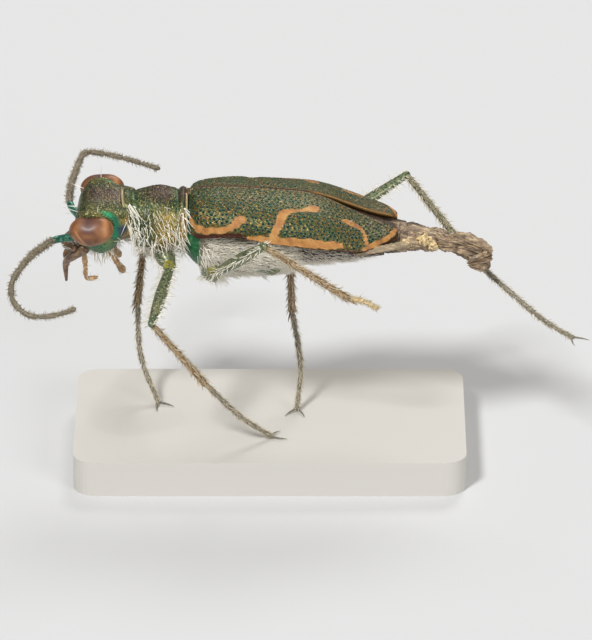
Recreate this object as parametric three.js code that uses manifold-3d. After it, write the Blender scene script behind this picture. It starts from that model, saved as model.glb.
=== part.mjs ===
// A tiger beetle at life size, about 12.5 mm from feeler tip to hind claws, standing on a small flat base.
// Millimetres, +Z up, +X from head to tail, +Y to the beetle's right.
// The body is laid out in its own frame, with Z = 0 on the back of the wing cases, and the whole group is
// moved at the end so that the underside of the base is at Z = 0.
import * as THREE from 'three';
import { mergeVertices } from 'three/addons/utils/BufferGeometryUtils.js';
import Module from 'manifold-3d';

const wasm = await Module();
wasm.setup();

// Driving dimensions, mm
const GAP = 0.02; // clearance between neighbouring plates
const FLOOR = -5.5; // level of the three standing feet
const CASE_THICK = 0.09; // wall of a wing case
const PIN_HOLE = { radius: 0.215, x: -0.93, y: 0.8 };
const BASE = { length: 8.6, width: 4.8, height: 0.8, corner: 0.5, x: -0.55, y: -0.1 };
const CLAW = { length: 0.2, radius: 0.028, spread: 0.55 };
const SPUR = { length: 0.26, radius: 0.022, spread: 0.45 };
const RING_SIDES = 8; // sides of a leg's tube
const BODY_SIDES = 20; // sides of a body ring

// Leg thicknesses, radii in mm at the start, middle and end of each length
const THICK = {
  coxa: [0.2, 0.21, 0.13],
  femur: [0.09, 0.135, 0.085],
  tibia: [0.062, 0.07, 0.08],
  tarsus: [0.052, 0.056, 0.045],
};

const v = (x, y, z) => new THREE.Vector3(x, y, z);

// Where each leg bends: hip, end of the hip piece, knee, ankle, points along the foot, and its tip
const LEGS = {
  fore_left: {
    hip: v(-2.92, -0.3, -1.38), ring: v(-2.72, -0.72, -1.6), knee: v(-3.1, -2.39, -2.2),
    ankle: v(-1.96, -1.76, -3.93), foot: [v(-1.2, -1.5, -4.85)], tip: v(-0.53, -1.26, FLOOR + 0.06),
  },
  fore_right: {
    hip: v(-2.95, 0.22, -1.4), ring: v(-2.77, 0.48, -1.86), knee: v(-3.38, 2.38, -2.59),
    ankle: v(-3.5, 1.62, -3.55), foot: [v(-3.42, 1.05, -4.6)], tip: v(-3.03, 0.44, FLOOR + 0.06),
  },
  mid_left: {
    hip: v(-1.86, -0.5, -1.82), ring: v(-1.74, -1.02, -1.62), knee: v(-0.67, -2.2, -0.45),
    ankle: v(1.13, -1.75, -1.88), foot: [v(1.5, -1.63, -2.02)], tip: v(1.78, -1.53, -2.22),
  },
  mid_right: {
    hip: v(-1.86, 0.5, -1.82), ring: v(-1.72, 0.98, -1.62), knee: v(-0.15, 2.05, -1.7),
    ankle: v(-0.07, 1.2, -3.54), foot: [v(0.12, 0.6, -4.6)], tip: v(0.04, 0.1, FLOOR + 0.06),
  },
  hind_right: {
    hip: v(-0.45, 0.3, -1.72), ring: v(0.12, 0.66, -1.7), knee: v(2.46, 1.81, -0.53),
    ankle: v(3.95, -0.37, -1.65), foot: [v(4.55, -0.95, -1.98), v(5.12, -1.5, -2.28), v(5.52, -1.98, -2.4)],
    tip: v(6.0, -2.55, -2.45),
  },
};

// Feelers, from the socket through each bend to the tip
const FEELERS = {
  right: [v(-4.72, 0.6, -1.0), v(-4.93, 0.99, -0.9), v(-4.95, 1.73, -0.81), v(-4.9, 2.31, -0.81),
    v(-4.78, 3.27, -0.82), v(-4.67, 3.62, -0.79), v(-3.98, 3.88, -1.0), v(-2.98, 3.8, -1.28)],
  left: [v(-4.84, -0.16, -1.14), v(-5.23, -0.28, -1.16), v(-5.49, -0.98, -1.03), v(-5.76, -1.71, -0.95),
    v(-6.1, -2.63, -1.15), v(-6.05, -3.0, -1.39), v(-5.74, -3.34, -1.54), v(-5.41, -3.31, -1.6),
    v(-4.9, -3.14, -1.57), v(-4.69, -2.96, -1.54)],
};

const COLOURS = {
  caseGreen: 0x4f6b3c, thorax: 0x4b5140, head: 0x55493f, eye: 0x8a4b2b, mouth: 0x7a4a2c, palp: 0x9a7650,
  feeler: 0x6e6052, scape: 0x4f5f45, femur: 0x5d6b3f, tibia: 0x8a6a44, tarsus: 0x75685a, belly: 0x5a4232,
  plate: 0xe4e0d8,
};

// A smooth curve through a few [position, value] keys
function profile(keys) {
  const slope = keys.map((key, i) => {
    const before = keys[Math.max(i - 1, 0)];
    const after = keys[Math.min(i + 1, keys.length - 1)];
    return (after[1] - before[1]) / (after[0] - before[0]);
  });
  return (x) => {
    const last = keys.length - 1;
    if (x <= keys[0][0]) return keys[0][1];
    if (x >= keys[last][0]) return keys[last][1];
    const i = keys.findIndex((key) => key[0] > x) - 1;
    const span = keys[i + 1][0] - keys[i][0];
    const t = (x - keys[i][0]) / span;
    const h1 = t * t * (3 - 2 * t);
    return keys[i][1] * (1 - h1) + keys[i + 1][1] * h1
      + span * (slope[i] * t * (1 - t) ** 2 - slope[i + 1] * t * t * (1 - t));
  };
}

// A closed skin over rings of points, each end shut by a fan, turned so that its faces point out
function skin(rings) {
  const sides = rings[0].length;
  const points = rings.flat();
  const faces = [];
  for (let i = 0; i + 1 < rings.length; i++) {
    for (let j = 0; j < sides; j++) {
      const a = i * sides + j;
      const b = i * sides + ((j + 1) % sides);
      faces.push([a, b, b + sides], [a, b + sides, a + sides]);
    }
  }
  for (const [ring, turned] of [[0, true], [rings.length - 1, false]]) {
    const middle = rings[ring].reduce((sum, p) => sum.add(p), v(0, 0, 0)).divideScalar(sides);
    points.push(middle);
    for (let j = 0; j < sides; j++) {
      const a = ring * sides + j;
      const b = ring * sides + ((j + 1) % sides);
      faces.push(turned ? [points.length - 1, b, a] : [points.length - 1, a, b]);
    }
  }
  let volume = 0;
  for (const [a, b, c] of faces) volume += points[a].dot(v(0, 0, 0).crossVectors(points[b], points[c]));
  if (volume < 0) faces.forEach((face) => face.reverse());
  return new wasm.Manifold(new wasm.Mesh({
    numProp: 3,
    vertProperties: new Float32Array(points.flatMap((p) => [p.x, p.y, p.z])),
    triVerts: new Uint32Array(faces.flat()),
  }));
}

// A three.js geometry as a solid that can be cut
function solidOf(geometry) {
  const bare = geometry.clone();
  bare.deleteAttribute('normal');
  bare.deleteAttribute('uv');
  const merged = mergeVertices(bare, 1e-5);
  return new wasm.Manifold(new wasm.Mesh({
    numProp: 3,
    vertProperties: new Float32Array(merged.attributes.position.array),
    triVerts: new Uint32Array(merged.index.array),
  }));
}

// A tube along a smooth path, radius(t) for t from 0 to 1, with domed ends, wider by grow all over. It is
// round, or flat(t) times as high as wide
function tube(path, radius, { steps = 10, sides = RING_SIDES, grow = 0, flat = () => 1 } = {}) {
  const curve = new THREE.CatmullRomCurve3(path, false, 'centripetal');
  const frames = [];
  let side = null;
  for (let i = 0; i <= steps; i++) {
    const along = curve.getTangentAt(i / steps);
    if (!side) side = Math.abs(along.z) < 0.9 ? v(0, 0, 1).cross(along) : v(1, 0, 0).cross(along);
    side = side.addScaledVector(along, -side.dot(along)).normalize().clone();
    frames.push({ at: curve.getPointAt(i / steps), along, side, up: along.clone().cross(side), r: radius(i / steps),
      flat: flat(i / steps) });
  }
  const ring = (frame, push, share) => Array.from({ length: sides }, (_, j) => {
    const angle = (j / sides) * 2 * Math.PI;
    const wide = (frame.r + grow) * share * Math.cos(angle);
    const high = (frame.r * frame.flat + grow) * share * Math.sin(angle);
    return frame.at.clone().addScaledVector(frame.along, push * (frame.r * Math.min(frame.flat, 1) + grow))
      .addScaledVector(frame.side, wide).addScaledVector(frame.up, high);
  });
  const first = frames[0];
  const last = frames[steps];
  return skin([
    ring(first, -0.85, 0.45), ring(first, -0.5, 0.82), ...frames.map((frame) => ring(frame, 0, 1)),
    ring(last, 0.5, 0.82), ring(last, 0.85, 0.45),
  ]);
}

const threePoint = ([a, b, c]) => profile([[0, a], [0.5, b], [1, c]]);

// A superellipse ring across X, half width b and half height c, rolled about its centre. A crown gives the
// upper half its own height and a boxier power, and lean tips the ring forward at its top
function bodyRing({ x, y, z, b, c, crown = 0, roll = 0, lean = 0 }, grow) {
  return Array.from({ length: BODY_SIDES }, (_, j) => {
    const angle = (j / BODY_SIDES) * 2 * Math.PI;
    const upper = crown > 0 && j < BODY_SIDES / 2;
    const reach = (value) => Math.sign(value) * Math.abs(value) ** (2 / (upper ? 5 : 2.2));
    const p = (b + grow) * reach(Math.cos(angle));
    const q = ((upper ? crown : c) + grow) * reach(Math.sin(angle));
    return v(x - lean * q, y + p * Math.cos(roll) - q * Math.sin(roll), z + p * Math.sin(roll) + q * Math.cos(roll));
  });
}

// A body lofted along X through named stations, with its ends pushed out by grow
function trunk(stations, steps, grow) {
  const at = (key) => profile(stations.map((station) => [station.x, station[key] ?? 0]));
  const curves = Object.entries({ y: at('y'), z: at('z'), b: at('b'), c: at('c'), crown: at('crown'),
    roll: at('roll'), lean: at('lean') });
  const from = stations[0].x;
  const to = stations[stations.length - 1].x;
  return skin(Array.from({ length: steps + 1 }, (_, i) => {
    const x = from + ((to - from) * i) / steps;
    const push = i === 0 ? -grow : i === steps ? grow : 0;
    return bodyRing({ ...Object.fromEntries(curves.map(([key, curve]) => [key, curve(x)])), x: x + push }, grow);
  }));
}

// Wing cases. Edge lines along X: the inner edge at the seam, and the outer margin
const SEAM_Z = profile([[-2.35, -0.2], [-2.2, -0.05], [-1.56, 0], [-0.73, -0.04], [0.29, -0.13], [0.73, -0.25],
  [1.1, -0.41], [1.5, -0.58], [1.82, -0.69], [2.11, -0.77], [2.26, -0.86]]);
const SEAM_Y = {
  left: profile([[-2.35, 0], [0.1, 0], [0.29, -0.03], [0.73, -0.09], [1.1, -0.15], [1.5, -0.21], [1.82, -0.3],
    [2.11, -0.4], [2.26, -0.48]]),
  right: profile([[-2.35, 0], [0.1, 0], [0.29, 0.01], [0.73, 0.05], [1.34, 0.118], [1.91, 0.16], [2.11, 0.19],
    [2.26, 0.3]]),
};
const CASE_HALF = profile([[-2.32, 0.62], [-2.25, 0.76], [-2.09, 0.98], [-1.56, 1.165], [-0.73, 1.29], [0.04, 1.37],
  [0.7, 1.395], [1.34, 1.34], [1.67, 1.2], [1.98, 0.97], [2.18, 0.72], [2.26, 0.56]]);
const MARGIN_Z = profile([[-2.35, -0.78], [-2.18, -0.81], [-1.41, -0.68], [-0.92, -0.72], [-0.44, -0.79], [0.22, -0.85],
  [0.95, -0.93], [1.5, -0.975], [1.98, -0.9], [2.26, -0.9]]);
const CASE_POWER = 2.4;
const CASE_X = { from: -2.3, to: 2.24, steps: 18, across: 8 };

function caseRing(side, x, outward, inward, edge) {
  const sign = side === 'right' ? 1 : -1;
  const seam = { y: SEAM_Y[side](x) + sign * (GAP / 2 - edge), z: SEAM_Z(x) };
  const margin = { y: sign * CASE_HALF(x) + (x > 1.3 ? -0.06 * (x - 1.3) : 0), z: MARGIN_Z(x) };
  const outer = [];
  for (let j = 0; j <= CASE_X.across; j++) {
    const angle = (j / CASE_X.across) * (Math.PI / 2);
    const p = Math.sin(angle) ** (2 / CASE_POWER);
    const q = Math.cos(angle) ** (2 / CASE_POWER);
    const slope = v(0, sign * Math.max(p, 1e-3) ** (CASE_POWER - 1) / Math.abs(margin.y - seam.y),
      Math.max(q, 1e-3) ** (CASE_POWER - 1) / (seam.z - margin.z)).normalize();
    outer.push({ at: v(x, seam.y + (margin.y - seam.y) * p, margin.z + (seam.z - margin.z) * q), slope });
  }
  return [
    ...outer.map((point) => point.at.clone().addScaledVector(point.slope, outward)),
    ...outer.map((point) => point.at.clone().addScaledVector(point.slope, -inward)).reverse(),
  ];
}

// One case as a shell, or with more outward and inward room as the space that the body must keep clear of
function wingCase(side, outward, inward, edge) {
  const rings = [];
  for (let i = 0; i <= CASE_X.steps; i++) {
    const even = i / CASE_X.steps;
    const bunched = 0.5 - 0.5 * Math.cos(Math.PI * even); // closer rings at the shoulders and the tip
    const x = CASE_X.from + (CASE_X.to - CASE_X.from) * (0.45 * even + 0.55 * bunched);
    const push = i === 0 ? -edge : i === CASE_X.steps ? edge : 0;
    rings.push(caseRing(side, x, outward, inward, edge).map((p) => p.add(v(push, 0, 0))));
  }
  return skin(rings);
}

// The head is turned in its own frame, between the eyes: rolled right side up, nodding, and swung to the right
const HEAD = { at: v(-4.35, 0.024, -0.55), roll: 0.27, yaw: -0.14, pitch: -0.1 };
const headFrame = new THREE.Matrix4().makeRotationFromEuler(new THREE.Euler(HEAD.roll, HEAD.pitch, HEAD.yaw, 'ZYX'))
  .setPosition(HEAD.at);

// The capsule from the face, at the low end of its own X, back to the neck
const HEAD_STATIONS = [
  { x: -0.56, y: 0, z: -0.55, b: 0.3, crown: 0.2, c: 0.3 }, { x: -0.5, y: 0, z: -0.4, b: 0.44, crown: 0.36, c: 0.45 },
  { x: -0.4, y: 0, z: -0.25, b: 0.54, crown: 0.42, c: 0.62 }, { x: -0.2, y: 0, z: -0.13, b: 0.64, crown: 0.49, c: 0.85 },
  { x: 0, y: 0, z: -0.1, b: 0.68, crown: 0.5, c: 0.98 }, { x: 0.2, y: 0, z: -0.1, b: 0.66, crown: 0.49, c: 0.92 },
  { x: 0.36, y: 0, z: -0.1, b: 0.6, crown: 0.46, c: 0.78 }, { x: 0.5, y: 0, z: -0.1, b: 0.55, crown: 0.43, c: 0.64 },
  { x: 0.85, y: 0, z: -0.13, b: 0.5, crown: 0.37, c: 0.54 },
];
const EYE = { x: 0, y: 0.741, z: 0, radii: [0.49, 0.33, 0.34] };

function headSolid(grow) {
  return trunk(HEAD_STATIONS, 10, grow).transform(headFrame.elements);
}

function eyeSolid(sign, grow) {
  const ball = new THREE.SphereGeometry(1, 16, 11);
  ball.scale(...EYE.radii.map((r) => r + grow));
  ball.translate(EYE.x, sign * EYE.y, EYE.z);
  return solidOf(ball).transform(headFrame.elements);
}

// Small mouth parts, as tubes. The right outer palp is stretched out sideways, and the rest hang
const MOUTH = {
  labrum: { r: [0.09, 0.13, 0.09], middle: [[-4.85, -0.01, -1.47], [-5.0, 0.27, -1.45], [-4.85, 0.53, -1.32]] },
  mandible: {
    r: [0.13, 0.085, 0.03],
    left: [[-4.62, 0, -1.5], [-4.88, 0.15, -1.75], [-5.02, 0.3, -1.95], [-5.03, 0.44, -2.45]],
    right: [[-4.6, 0.58, -1.38], [-4.84, 0.6, -1.65], [-5.04, 0.52, -1.86], [-4.98, 0.5, -2.1]],
  },
  palp_maxillary: {
    r: [0.06, 0.055, 0.045],
    left: [[-4.62, 0.06, -1.6], [-4.6, 0.12, -1.9], [-4.56, 0.26, -2.33], [-4.36, 0.25, -2.3]],
    right: [[-4.6, 0.62, -1.45], [-4.42, 1.0, -1.6], [-4.28, 1.3, -1.68], [-4.18, 1.6, -1.75]],
  },
  palp_labial: {
    r: [0.055, 0.06, 0.085],
    left: [[-4.1, 0.04, -1.5], [-3.93, 0.12, -1.83], [-3.78, 0.19, -2.1]],
    right: [[-4.15, 0.5, -1.4], [-4.0, 0.6, -1.7], [-3.88, 0.68, -1.95]],
  },
};

function mouthPart(name, side, grow) {
  const path = MOUTH[name][side].map((point) => v(...point));
  return tube(path, threePoint(MOUTH[name].r), { steps: 6, sides: 6, grow });
}

// The fore body, a barrel pinched behind its front rim and before its hind rim
const FORE_BODY = [
  { x: -3.64, y: 0.02, z: -0.75, b: 0.6, c: 0.62, lean: 0.25 }, { x: -3.52, y: 0.02, z: -0.75, b: 0.62, c: 0.64, lean: 0.22 },
  { x: -3.4, y: 0.01, z: -0.76, b: 0.6, c: 0.61, lean: 0.18 }, { x: -2.98, y: 0, z: -0.76, b: 0.72, c: 0.71 },
  { x: -2.6, y: 0, z: -0.75, b: 0.65, c: 0.64 }, { x: -2.44, y: 0, z: -0.75, b: 0.66, c: 0.66 },
  { x: -2.34, y: 0, z: -0.75, b: 0.63, c: 0.62 },
];
const HIND_BODY = [
  { x: -2.5, y: 0, z: -0.85, b: 0.5, c: 0.55 }, { x: -2.2, y: 0, z: -0.98, b: 0.76, c: 0.74 },
  { x: -1.9, y: 0, z: -1.04, b: 0.92, c: 0.88 }, { x: -1.5, y: 0, z: -1.06, b: 1.02, c: 0.94 },
  { x: -0.9, y: 0, z: -1.05, b: 1.12, c: 0.93 }, { x: -0.3, y: 0, z: -1.03, b: 1.15, c: 0.88 },
  { x: 0.05, y: 0, z: -1.02, b: 1.12, c: 0.82 },
];
const BELLY = [
  { x: 0, y: 0, z: -1.03, b: 1.1, c: 0.66 }, { x: 0.5, y: 0, z: -1.05, b: 1.18, c: 0.58 },
  { x: 1.3, y: 0.02, z: -1.13, b: 1.16, c: 0.42, roll: -0.12 }, { x: 1.87, y: 0.05, z: -1.2, b: 1.08, c: 0.28, roll: -0.2 },
  { x: 2.31, y: 0.034, z: -1.2, b: 0.98, c: 0.24, roll: -0.24 }, { x: 2.77, y: 0, z: -1.22, b: 0.75, c: 0.2, roll: -0.24 },
  { x: 3.14, y: -0.18, z: -1.2, b: 0.55, c: 0.16, roll: -0.2 },
];
// The shrunken last rings, hooked back at the tip
const BELLY_TIP = {
  path: [v(3.0, -0.05, -1.21), v(3.4, -0.4, -1.18), v(3.85, -0.72, -1.18), v(4.1, -0.87, -1.22), v(4.17, -1.0, -1.25),
    v(4.05, -1.2, -1.24), v(3.85, -1.34, -1.24)],
  radius: profile([[0, 0.42], [0.25, 0.32], [0.52, 0.2], [0.72, 0.15], [0.9, 0.12], [1, 0.09]]),
  flat: profile([[0, 0.42], [0.25, 0.4], [0.5, 1.1], [0.7, 1.2], [1, 1]]),
};

// Claws or spurs: short tapered tubes that part from the end of a length
function prongs(end, along, { length, radius, spread }, droop) {
  const level = v(0, 0, 1).cross(along).normalize();
  return [-1, 1].map((sign) => tube([
    end.clone().addScaledVector(along, -2 * radius),
    end.clone().addScaledVector(along, length * 0.6).addScaledVector(level, sign * length * spread * 0.6),
    end.clone().addScaledVector(along, length).addScaledVector(level, sign * length * spread * 0.8)
      .add(v(0, 0, -droop * length)),
  ], threePoint([radius, radius * 0.8, radius * 0.35]), { steps: 3, sides: 4 }));
}

// Swollen rings along a foot or a feeler, for its joints
function jointed(base, count, swell) {
  return (t) => base(t) * (1 + swell * Math.cos(2 * Math.PI * (t * count - 0.82)));
}

const FOOT_JOINTS = 5;
const FEELER_JOINTS = 11;

// Every node: its colour, its solid at a given growth, and the room that later nodes keep clear of
const nodes = [];
function add(name, colour, make, keepOut = null) {
  nodes.push({ name, colour, make, keepOut: keepOut ?? (() => make(GAP)) });
}

function addLeg(name, leg) {
  const broken = name === 'mid_left';
  const footPath = [leg.ankle, ...leg.foot, leg.tip];
  const along = leg.tip.clone().sub(footPath[footPath.length - 2]).normalize();
  const shin = leg.ankle.clone().sub(leg.knee).normalize();
  const part = (path, radii, options) => (grow) => tube(path, threePoint(radii), { ...options, grow });
  add(`leg_${name}_coxa`, COLOURS.femur, part([leg.hip, leg.hip.clone().lerp(leg.ring, 0.5), leg.ring], THICK.coxa,
    { steps: 4 }));
  add(`leg_${name}_femur`, COLOURS.femur, part([leg.ring, leg.knee], THICK.femur, { steps: 6 }));
  add(`leg_${name}_tibia`, COLOURS.tibia, (grow) => part([leg.knee, leg.ankle], THICK.tibia, { steps: 5 })(grow)
    .add(grow === 0 ? wasm.Manifold.union(prongs(leg.ankle, shin, SPUR, 0)) : solidOf(new THREE.SphereGeometry(0.01, 4, 3))
      .translate(leg.ankle.toArray())));
  add(`leg_${name}_tarsus`, COLOURS.tarsus, (grow) => {
    const thick = jointed(threePoint(THICK.tarsus), FOOT_JOINTS, 0.18);
    const foot = tube(footPath, thick, { steps: broken ? 4 : 10, sides: 6, grow });
    return broken || grow > 0 ? foot : foot.add(wasm.Manifold.union(prongs(leg.tip, along, CLAW, 0)));
  });
}

function addFeeler(side) {
  const curve = new THREE.CatmullRomCurve3(FEELERS[side], false, 'centripetal');
  const cut = { scape: [0, 0.1], shaft: [0.1, 0.56], tip: [0.56, 1] };
  const taper = profile([[0, 0.09], [0.1, 0.08], [0.5, 0.066], [1, 0.05]]);
  for (const [part, [from, to]] of Object.entries(cut)) {
    const count = Math.max(Math.round((to - from) * FEELER_JOINTS), 1);
    const path = Array.from({ length: count * 2 + 1 }, (_, i) => curve.getPointAt(from + ((to - from) * i) / (count * 2)));
    const thick = jointed((t) => taper(from + (to - from) * t), count, part === 'scape' ? 0 : 0.16);
    add(`antenna_${side}_${part}`, part === 'scape' ? COLOURS.scape : COLOURS.feeler,
      (grow) => tube(path, thick, { steps: count * 3, sides: 6, grow }));
  }
}

add('pronotum', COLOURS.head, (grow) => trunk(FORE_BODY, 11, grow));
for (const [side, sign] of [['left', -1], ['right', 1]]) {
  add(`eye_${side}`, COLOURS.eye, (grow) => eyeSolid(sign, grow));
}
add('head', COLOURS.head, headSolid);
add('labrum', COLOURS.mouth, (grow) => mouthPart('labrum', 'middle', grow));
for (const side of ['left', 'right']) {
  add(`mandible_${side}`, COLOURS.mouth, (grow) => mouthPart('mandible', side, grow));
  add(`palp_maxillary_${side}`, COLOURS.palp, (grow) => mouthPart('palp_maxillary', side, grow));
  add(`palp_labial_${side}`, COLOURS.palp, (grow) => mouthPart('palp_labial', side, grow));
  addFeeler(side);
}
for (const side of ['left', 'right']) {
  add(`elytron_${side}`, COLOURS.caseGreen, (grow) => {
    const shell = wingCase(side, grow, CASE_THICK + grow, grow);
    if (side === 'left' || grow > 0) return shell;
    const hole = new THREE.CylinderGeometry(PIN_HOLE.radius, PIN_HOLE.radius, 1, 20).rotateX(Math.PI / 2);
    return shell.subtract(solidOf(hole.translate(PIN_HOLE.x, PIN_HOLE.y, 0)));
  }, () => wingCase(side, 0.5, CASE_THICK + GAP, GAP));
}
add('thorax', COLOURS.thorax, (grow) => trunk(HIND_BODY, 10, grow));
add('abdomen', COLOURS.belly, (grow) => trunk(BELLY, 11, grow));
add('abdomen_tip', COLOURS.belly, (grow) => tube(BELLY_TIP.path, BELLY_TIP.radius,
  { steps: 10, sides: 10, grow, flat: BELLY_TIP.flat }));
add('leg_hind_left_coxa', COLOURS.femur, (grow) => tube([v(-0.62, -0.4, -1.7), v(-0.42, -0.86, -1.55)],
  threePoint(THICK.coxa), { steps: 4, grow }));
for (const [name, leg] of Object.entries(LEGS)) addLeg(name, leg);

// The largest body of a cut solid
function largest(solid) {
  return solid.decompose().sort((a, b) => b.volume() - a.volume())[0];
}

const apart = (a, b) => [0, 1, 2].some((i) => a.max[i] < b.min[i] || b.max[i] < a.min[i]);

// Cut every node clear of the ones before it
const placed = [];
for (const node of nodes) {
  let solid = node.make(0);
  for (const other of placed) {
    if (!apart(solid.boundingBox(), other.room.boundingBox())) solid = solid.subtract(other.room);
  }
  placed.push({ ...node, solid: largest(solid), room: node.keepOut() });
}

const beetle = new THREE.Group();
for (const { name, colour, solid } of placed) {
  const { vertProperties, triVerts } = solid.getMesh();
  const geometry = new THREE.BufferGeometry();
  geometry.setAttribute('position', new THREE.BufferAttribute(new Float32Array(vertProperties), 3));
  geometry.setIndex(new THREE.BufferAttribute(new Uint32Array(triVerts), 1));
  geometry.computeVertexNormals();
  const shiny = /elytron|eye|pronotum|head|femur/.test(name);
  const material = new THREE.MeshStandardMaterial({ color: colour, roughness: shiny ? 0.35 : 0.6,
    metalness: shiny ? 0.3 : 0.05 });
  const mesh = new THREE.Mesh(geometry, material);
  mesh.name = name;
  beetle.add(mesh);
}

// The base under the feet, a flat plate with round corners
function basePlate() {
  const { length, width, height, corner } = BASE;
  const shape = new THREE.Shape();
  const [a, b] = [length / 2 - corner, width / 2 - corner];
  shape.absarc(a, b, corner, 0, Math.PI / 2);
  shape.absarc(-a, b, corner, Math.PI / 2, Math.PI);
  shape.absarc(-a, -b, corner, Math.PI, Math.PI * 1.5);
  shape.absarc(a, -b, corner, Math.PI * 1.5, Math.PI * 2);
  return new THREE.ExtrudeGeometry(shape, { depth: height, bevelEnabled: false, curveSegments: 4 });
}
const plate = new THREE.Mesh(basePlate(), new THREE.MeshStandardMaterial({ color: COLOURS.plate, roughness: 0.8 }));
plate.name = 'stand_base';
plate.position.set(BASE.x, BASE.y, FLOOR - BASE.height);
beetle.add(plate);

// Origin: the middle of the whole outline, on the underside of the base
beetle.updateMatrixWorld(true);
const outline = new THREE.Box3().setFromObject(beetle, true);
const middle = outline.getCenter(v(0, 0, 0));
beetle.position.set(-middle.x, -middle.y, -outline.min.z);

export default beetle;
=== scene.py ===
# %% [markdown]
# This lesson dresses one dried tiger beetle, twelve millimetres from feeler to hind claw. The part's solids
# are plain and faceted, so every plate, limb and hair that the eye sees is made here, in the same places. The
# beetle's own frame has +X from head to tail, +Y to its right and Z = 0 on its back, in millimetres. The
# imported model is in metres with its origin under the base, so one function turns the first into the second.
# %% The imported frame
import math
import bpy
import numpy as np
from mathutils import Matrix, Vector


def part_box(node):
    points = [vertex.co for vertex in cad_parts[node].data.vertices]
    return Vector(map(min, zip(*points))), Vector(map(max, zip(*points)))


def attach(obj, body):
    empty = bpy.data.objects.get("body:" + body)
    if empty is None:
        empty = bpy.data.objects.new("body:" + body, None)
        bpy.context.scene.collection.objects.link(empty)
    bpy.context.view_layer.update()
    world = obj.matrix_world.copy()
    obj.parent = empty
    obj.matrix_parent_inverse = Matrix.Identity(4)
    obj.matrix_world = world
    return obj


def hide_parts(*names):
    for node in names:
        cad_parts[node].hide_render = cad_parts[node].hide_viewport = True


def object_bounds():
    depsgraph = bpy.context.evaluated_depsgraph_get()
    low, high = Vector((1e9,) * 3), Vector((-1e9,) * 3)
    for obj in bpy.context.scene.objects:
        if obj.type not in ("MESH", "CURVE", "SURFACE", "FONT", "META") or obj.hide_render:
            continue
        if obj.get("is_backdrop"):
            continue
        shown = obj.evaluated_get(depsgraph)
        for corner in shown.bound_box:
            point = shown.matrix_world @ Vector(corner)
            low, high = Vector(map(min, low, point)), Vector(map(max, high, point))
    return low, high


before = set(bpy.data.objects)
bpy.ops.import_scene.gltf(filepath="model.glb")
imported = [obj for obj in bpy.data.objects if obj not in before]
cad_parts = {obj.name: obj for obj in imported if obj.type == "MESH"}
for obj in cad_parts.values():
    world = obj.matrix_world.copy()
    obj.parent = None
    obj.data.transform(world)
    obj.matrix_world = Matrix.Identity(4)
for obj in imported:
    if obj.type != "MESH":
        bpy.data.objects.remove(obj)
cad_low, cad_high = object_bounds()
MM = 0.001
FLOOR = -5.5  # top of the base in the beetle's frame
BASE_MIDDLE = np.array([-0.55, -0.1, FLOOR])
base_low, base_high = (np.array(corner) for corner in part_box("stand_base"))
SHIFT = np.array([*(base_low + base_high)[:2] / 2, base_high[2]]) / MM - BASE_MIDDLE


def place(points):
    """Points of the beetle's frame, in millimetres, as points of the part's frame, in metres."""
    return (np.asarray(points, float) + SHIFT) * MM


print("beetle's frame is moved by", SHIFT.round(3), "mm")

# %% [markdown]
# Most of a beetle is smooth shells whose width and height change slowly from head to tail. A few keyed sizes
# with a smooth curve through them describe each, and every shell becomes a grid of points: one ring of points
# for each step along. A grid is easy to push in and out for grooves and pits, which a faceted box isn't.
# %% Grids of points


def smooth(keys):
    """A smooth curve through [place, value] keys, for one number or an array of them."""
    at, value = np.array(keys, float).T
    before, after = np.r_[0, np.arange(len(at) - 1)], np.r_[np.arange(1, len(at)), len(at) - 1]
    slope = (value[after] - value[before]) / (at[after] - at[before])

    def curve(x):
        x = np.clip(x, at[0], at[-1])
        i = np.clip(np.searchsorted(at, x, "right") - 1, 0, len(at) - 2)
        span = at[i + 1] - at[i]
        t = (x - at[i]) / span
        h = t * t * (3 - 2 * t)
        return (value[i] * (1 - h) + value[i + 1] * h
                + span * (slope[i] * t * (1 - t) ** 2 - slope[i + 1] * t * t * (1 - t)))
    return curve


def ease(low, high, x):
    """0 below low, 1 above high, and a soft step between."""
    t = np.clip((np.asarray(x, float) - low) / (high - low), 0, 1)
    return t * t * (3 - 2 * t)


def bump_at(value, middle, width):
    """1 at the middle, falling smoothly to nothing at about twice the width from it."""
    return np.exp(-((value - middle) / width) ** 2)


def unit(v):
    return v / np.maximum(np.linalg.norm(v, axis=-1, keepdims=True), 1e-9)


def outward(grid):
    """Normals of a grid of rings, away from each ring's middle."""
    along = np.gradient(grid, axis=0)
    round_it = np.roll(grid, -1, axis=1) - np.roll(grid, 1, axis=1)
    normal = unit(np.cross(along, round_it))
    away = grid - grid.mean(axis=1, keepdims=True)
    return normal * np.where((normal * away).sum() < 0, -1, 1)


def skin_of(grid):
    """Points and outward faces of a closed skin over a grid of rings, with a middle point at each end."""
    rows, cols = grid.shape[:2]
    i, j = np.meshgrid(np.arange(rows - 1), np.arange(cols), indexing="ij")
    k = (j + 1) % cols
    quads = np.stack([i * cols + j, i * cols + k, (i + 1) * cols + k, (i + 1) * cols + j], -1).reshape(-1, 4)
    flat = grid.reshape(-1, 3)
    probe = flat[quads[:, 0]]
    normal = np.cross(flat[quads[:, 1]] - probe, flat[quads[:, 3]] - probe)
    inside_out = np.einsum("ij,ij->", normal, probe - grid.mean(axis=1).repeat(cols, 0)[quads[:, 0]]) < 0
    if inside_out:
        quads = quads[:, ::-1]
    caps = []
    for row, middle in ((0, rows * cols), (rows - 1, rows * cols + 1)):
        ring = row * cols + np.arange(cols)
        pairs = np.stack([ring, np.roll(ring, -1), np.full(cols, middle)], -1)
        caps.append(pairs[:, ::-1] if (row == 0) != inside_out else pairs)
    return np.vstack([flat, grid[0].mean(0), grid[-1].mean(0)]), quads.tolist() + np.vstack(caps).tolist()


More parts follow.
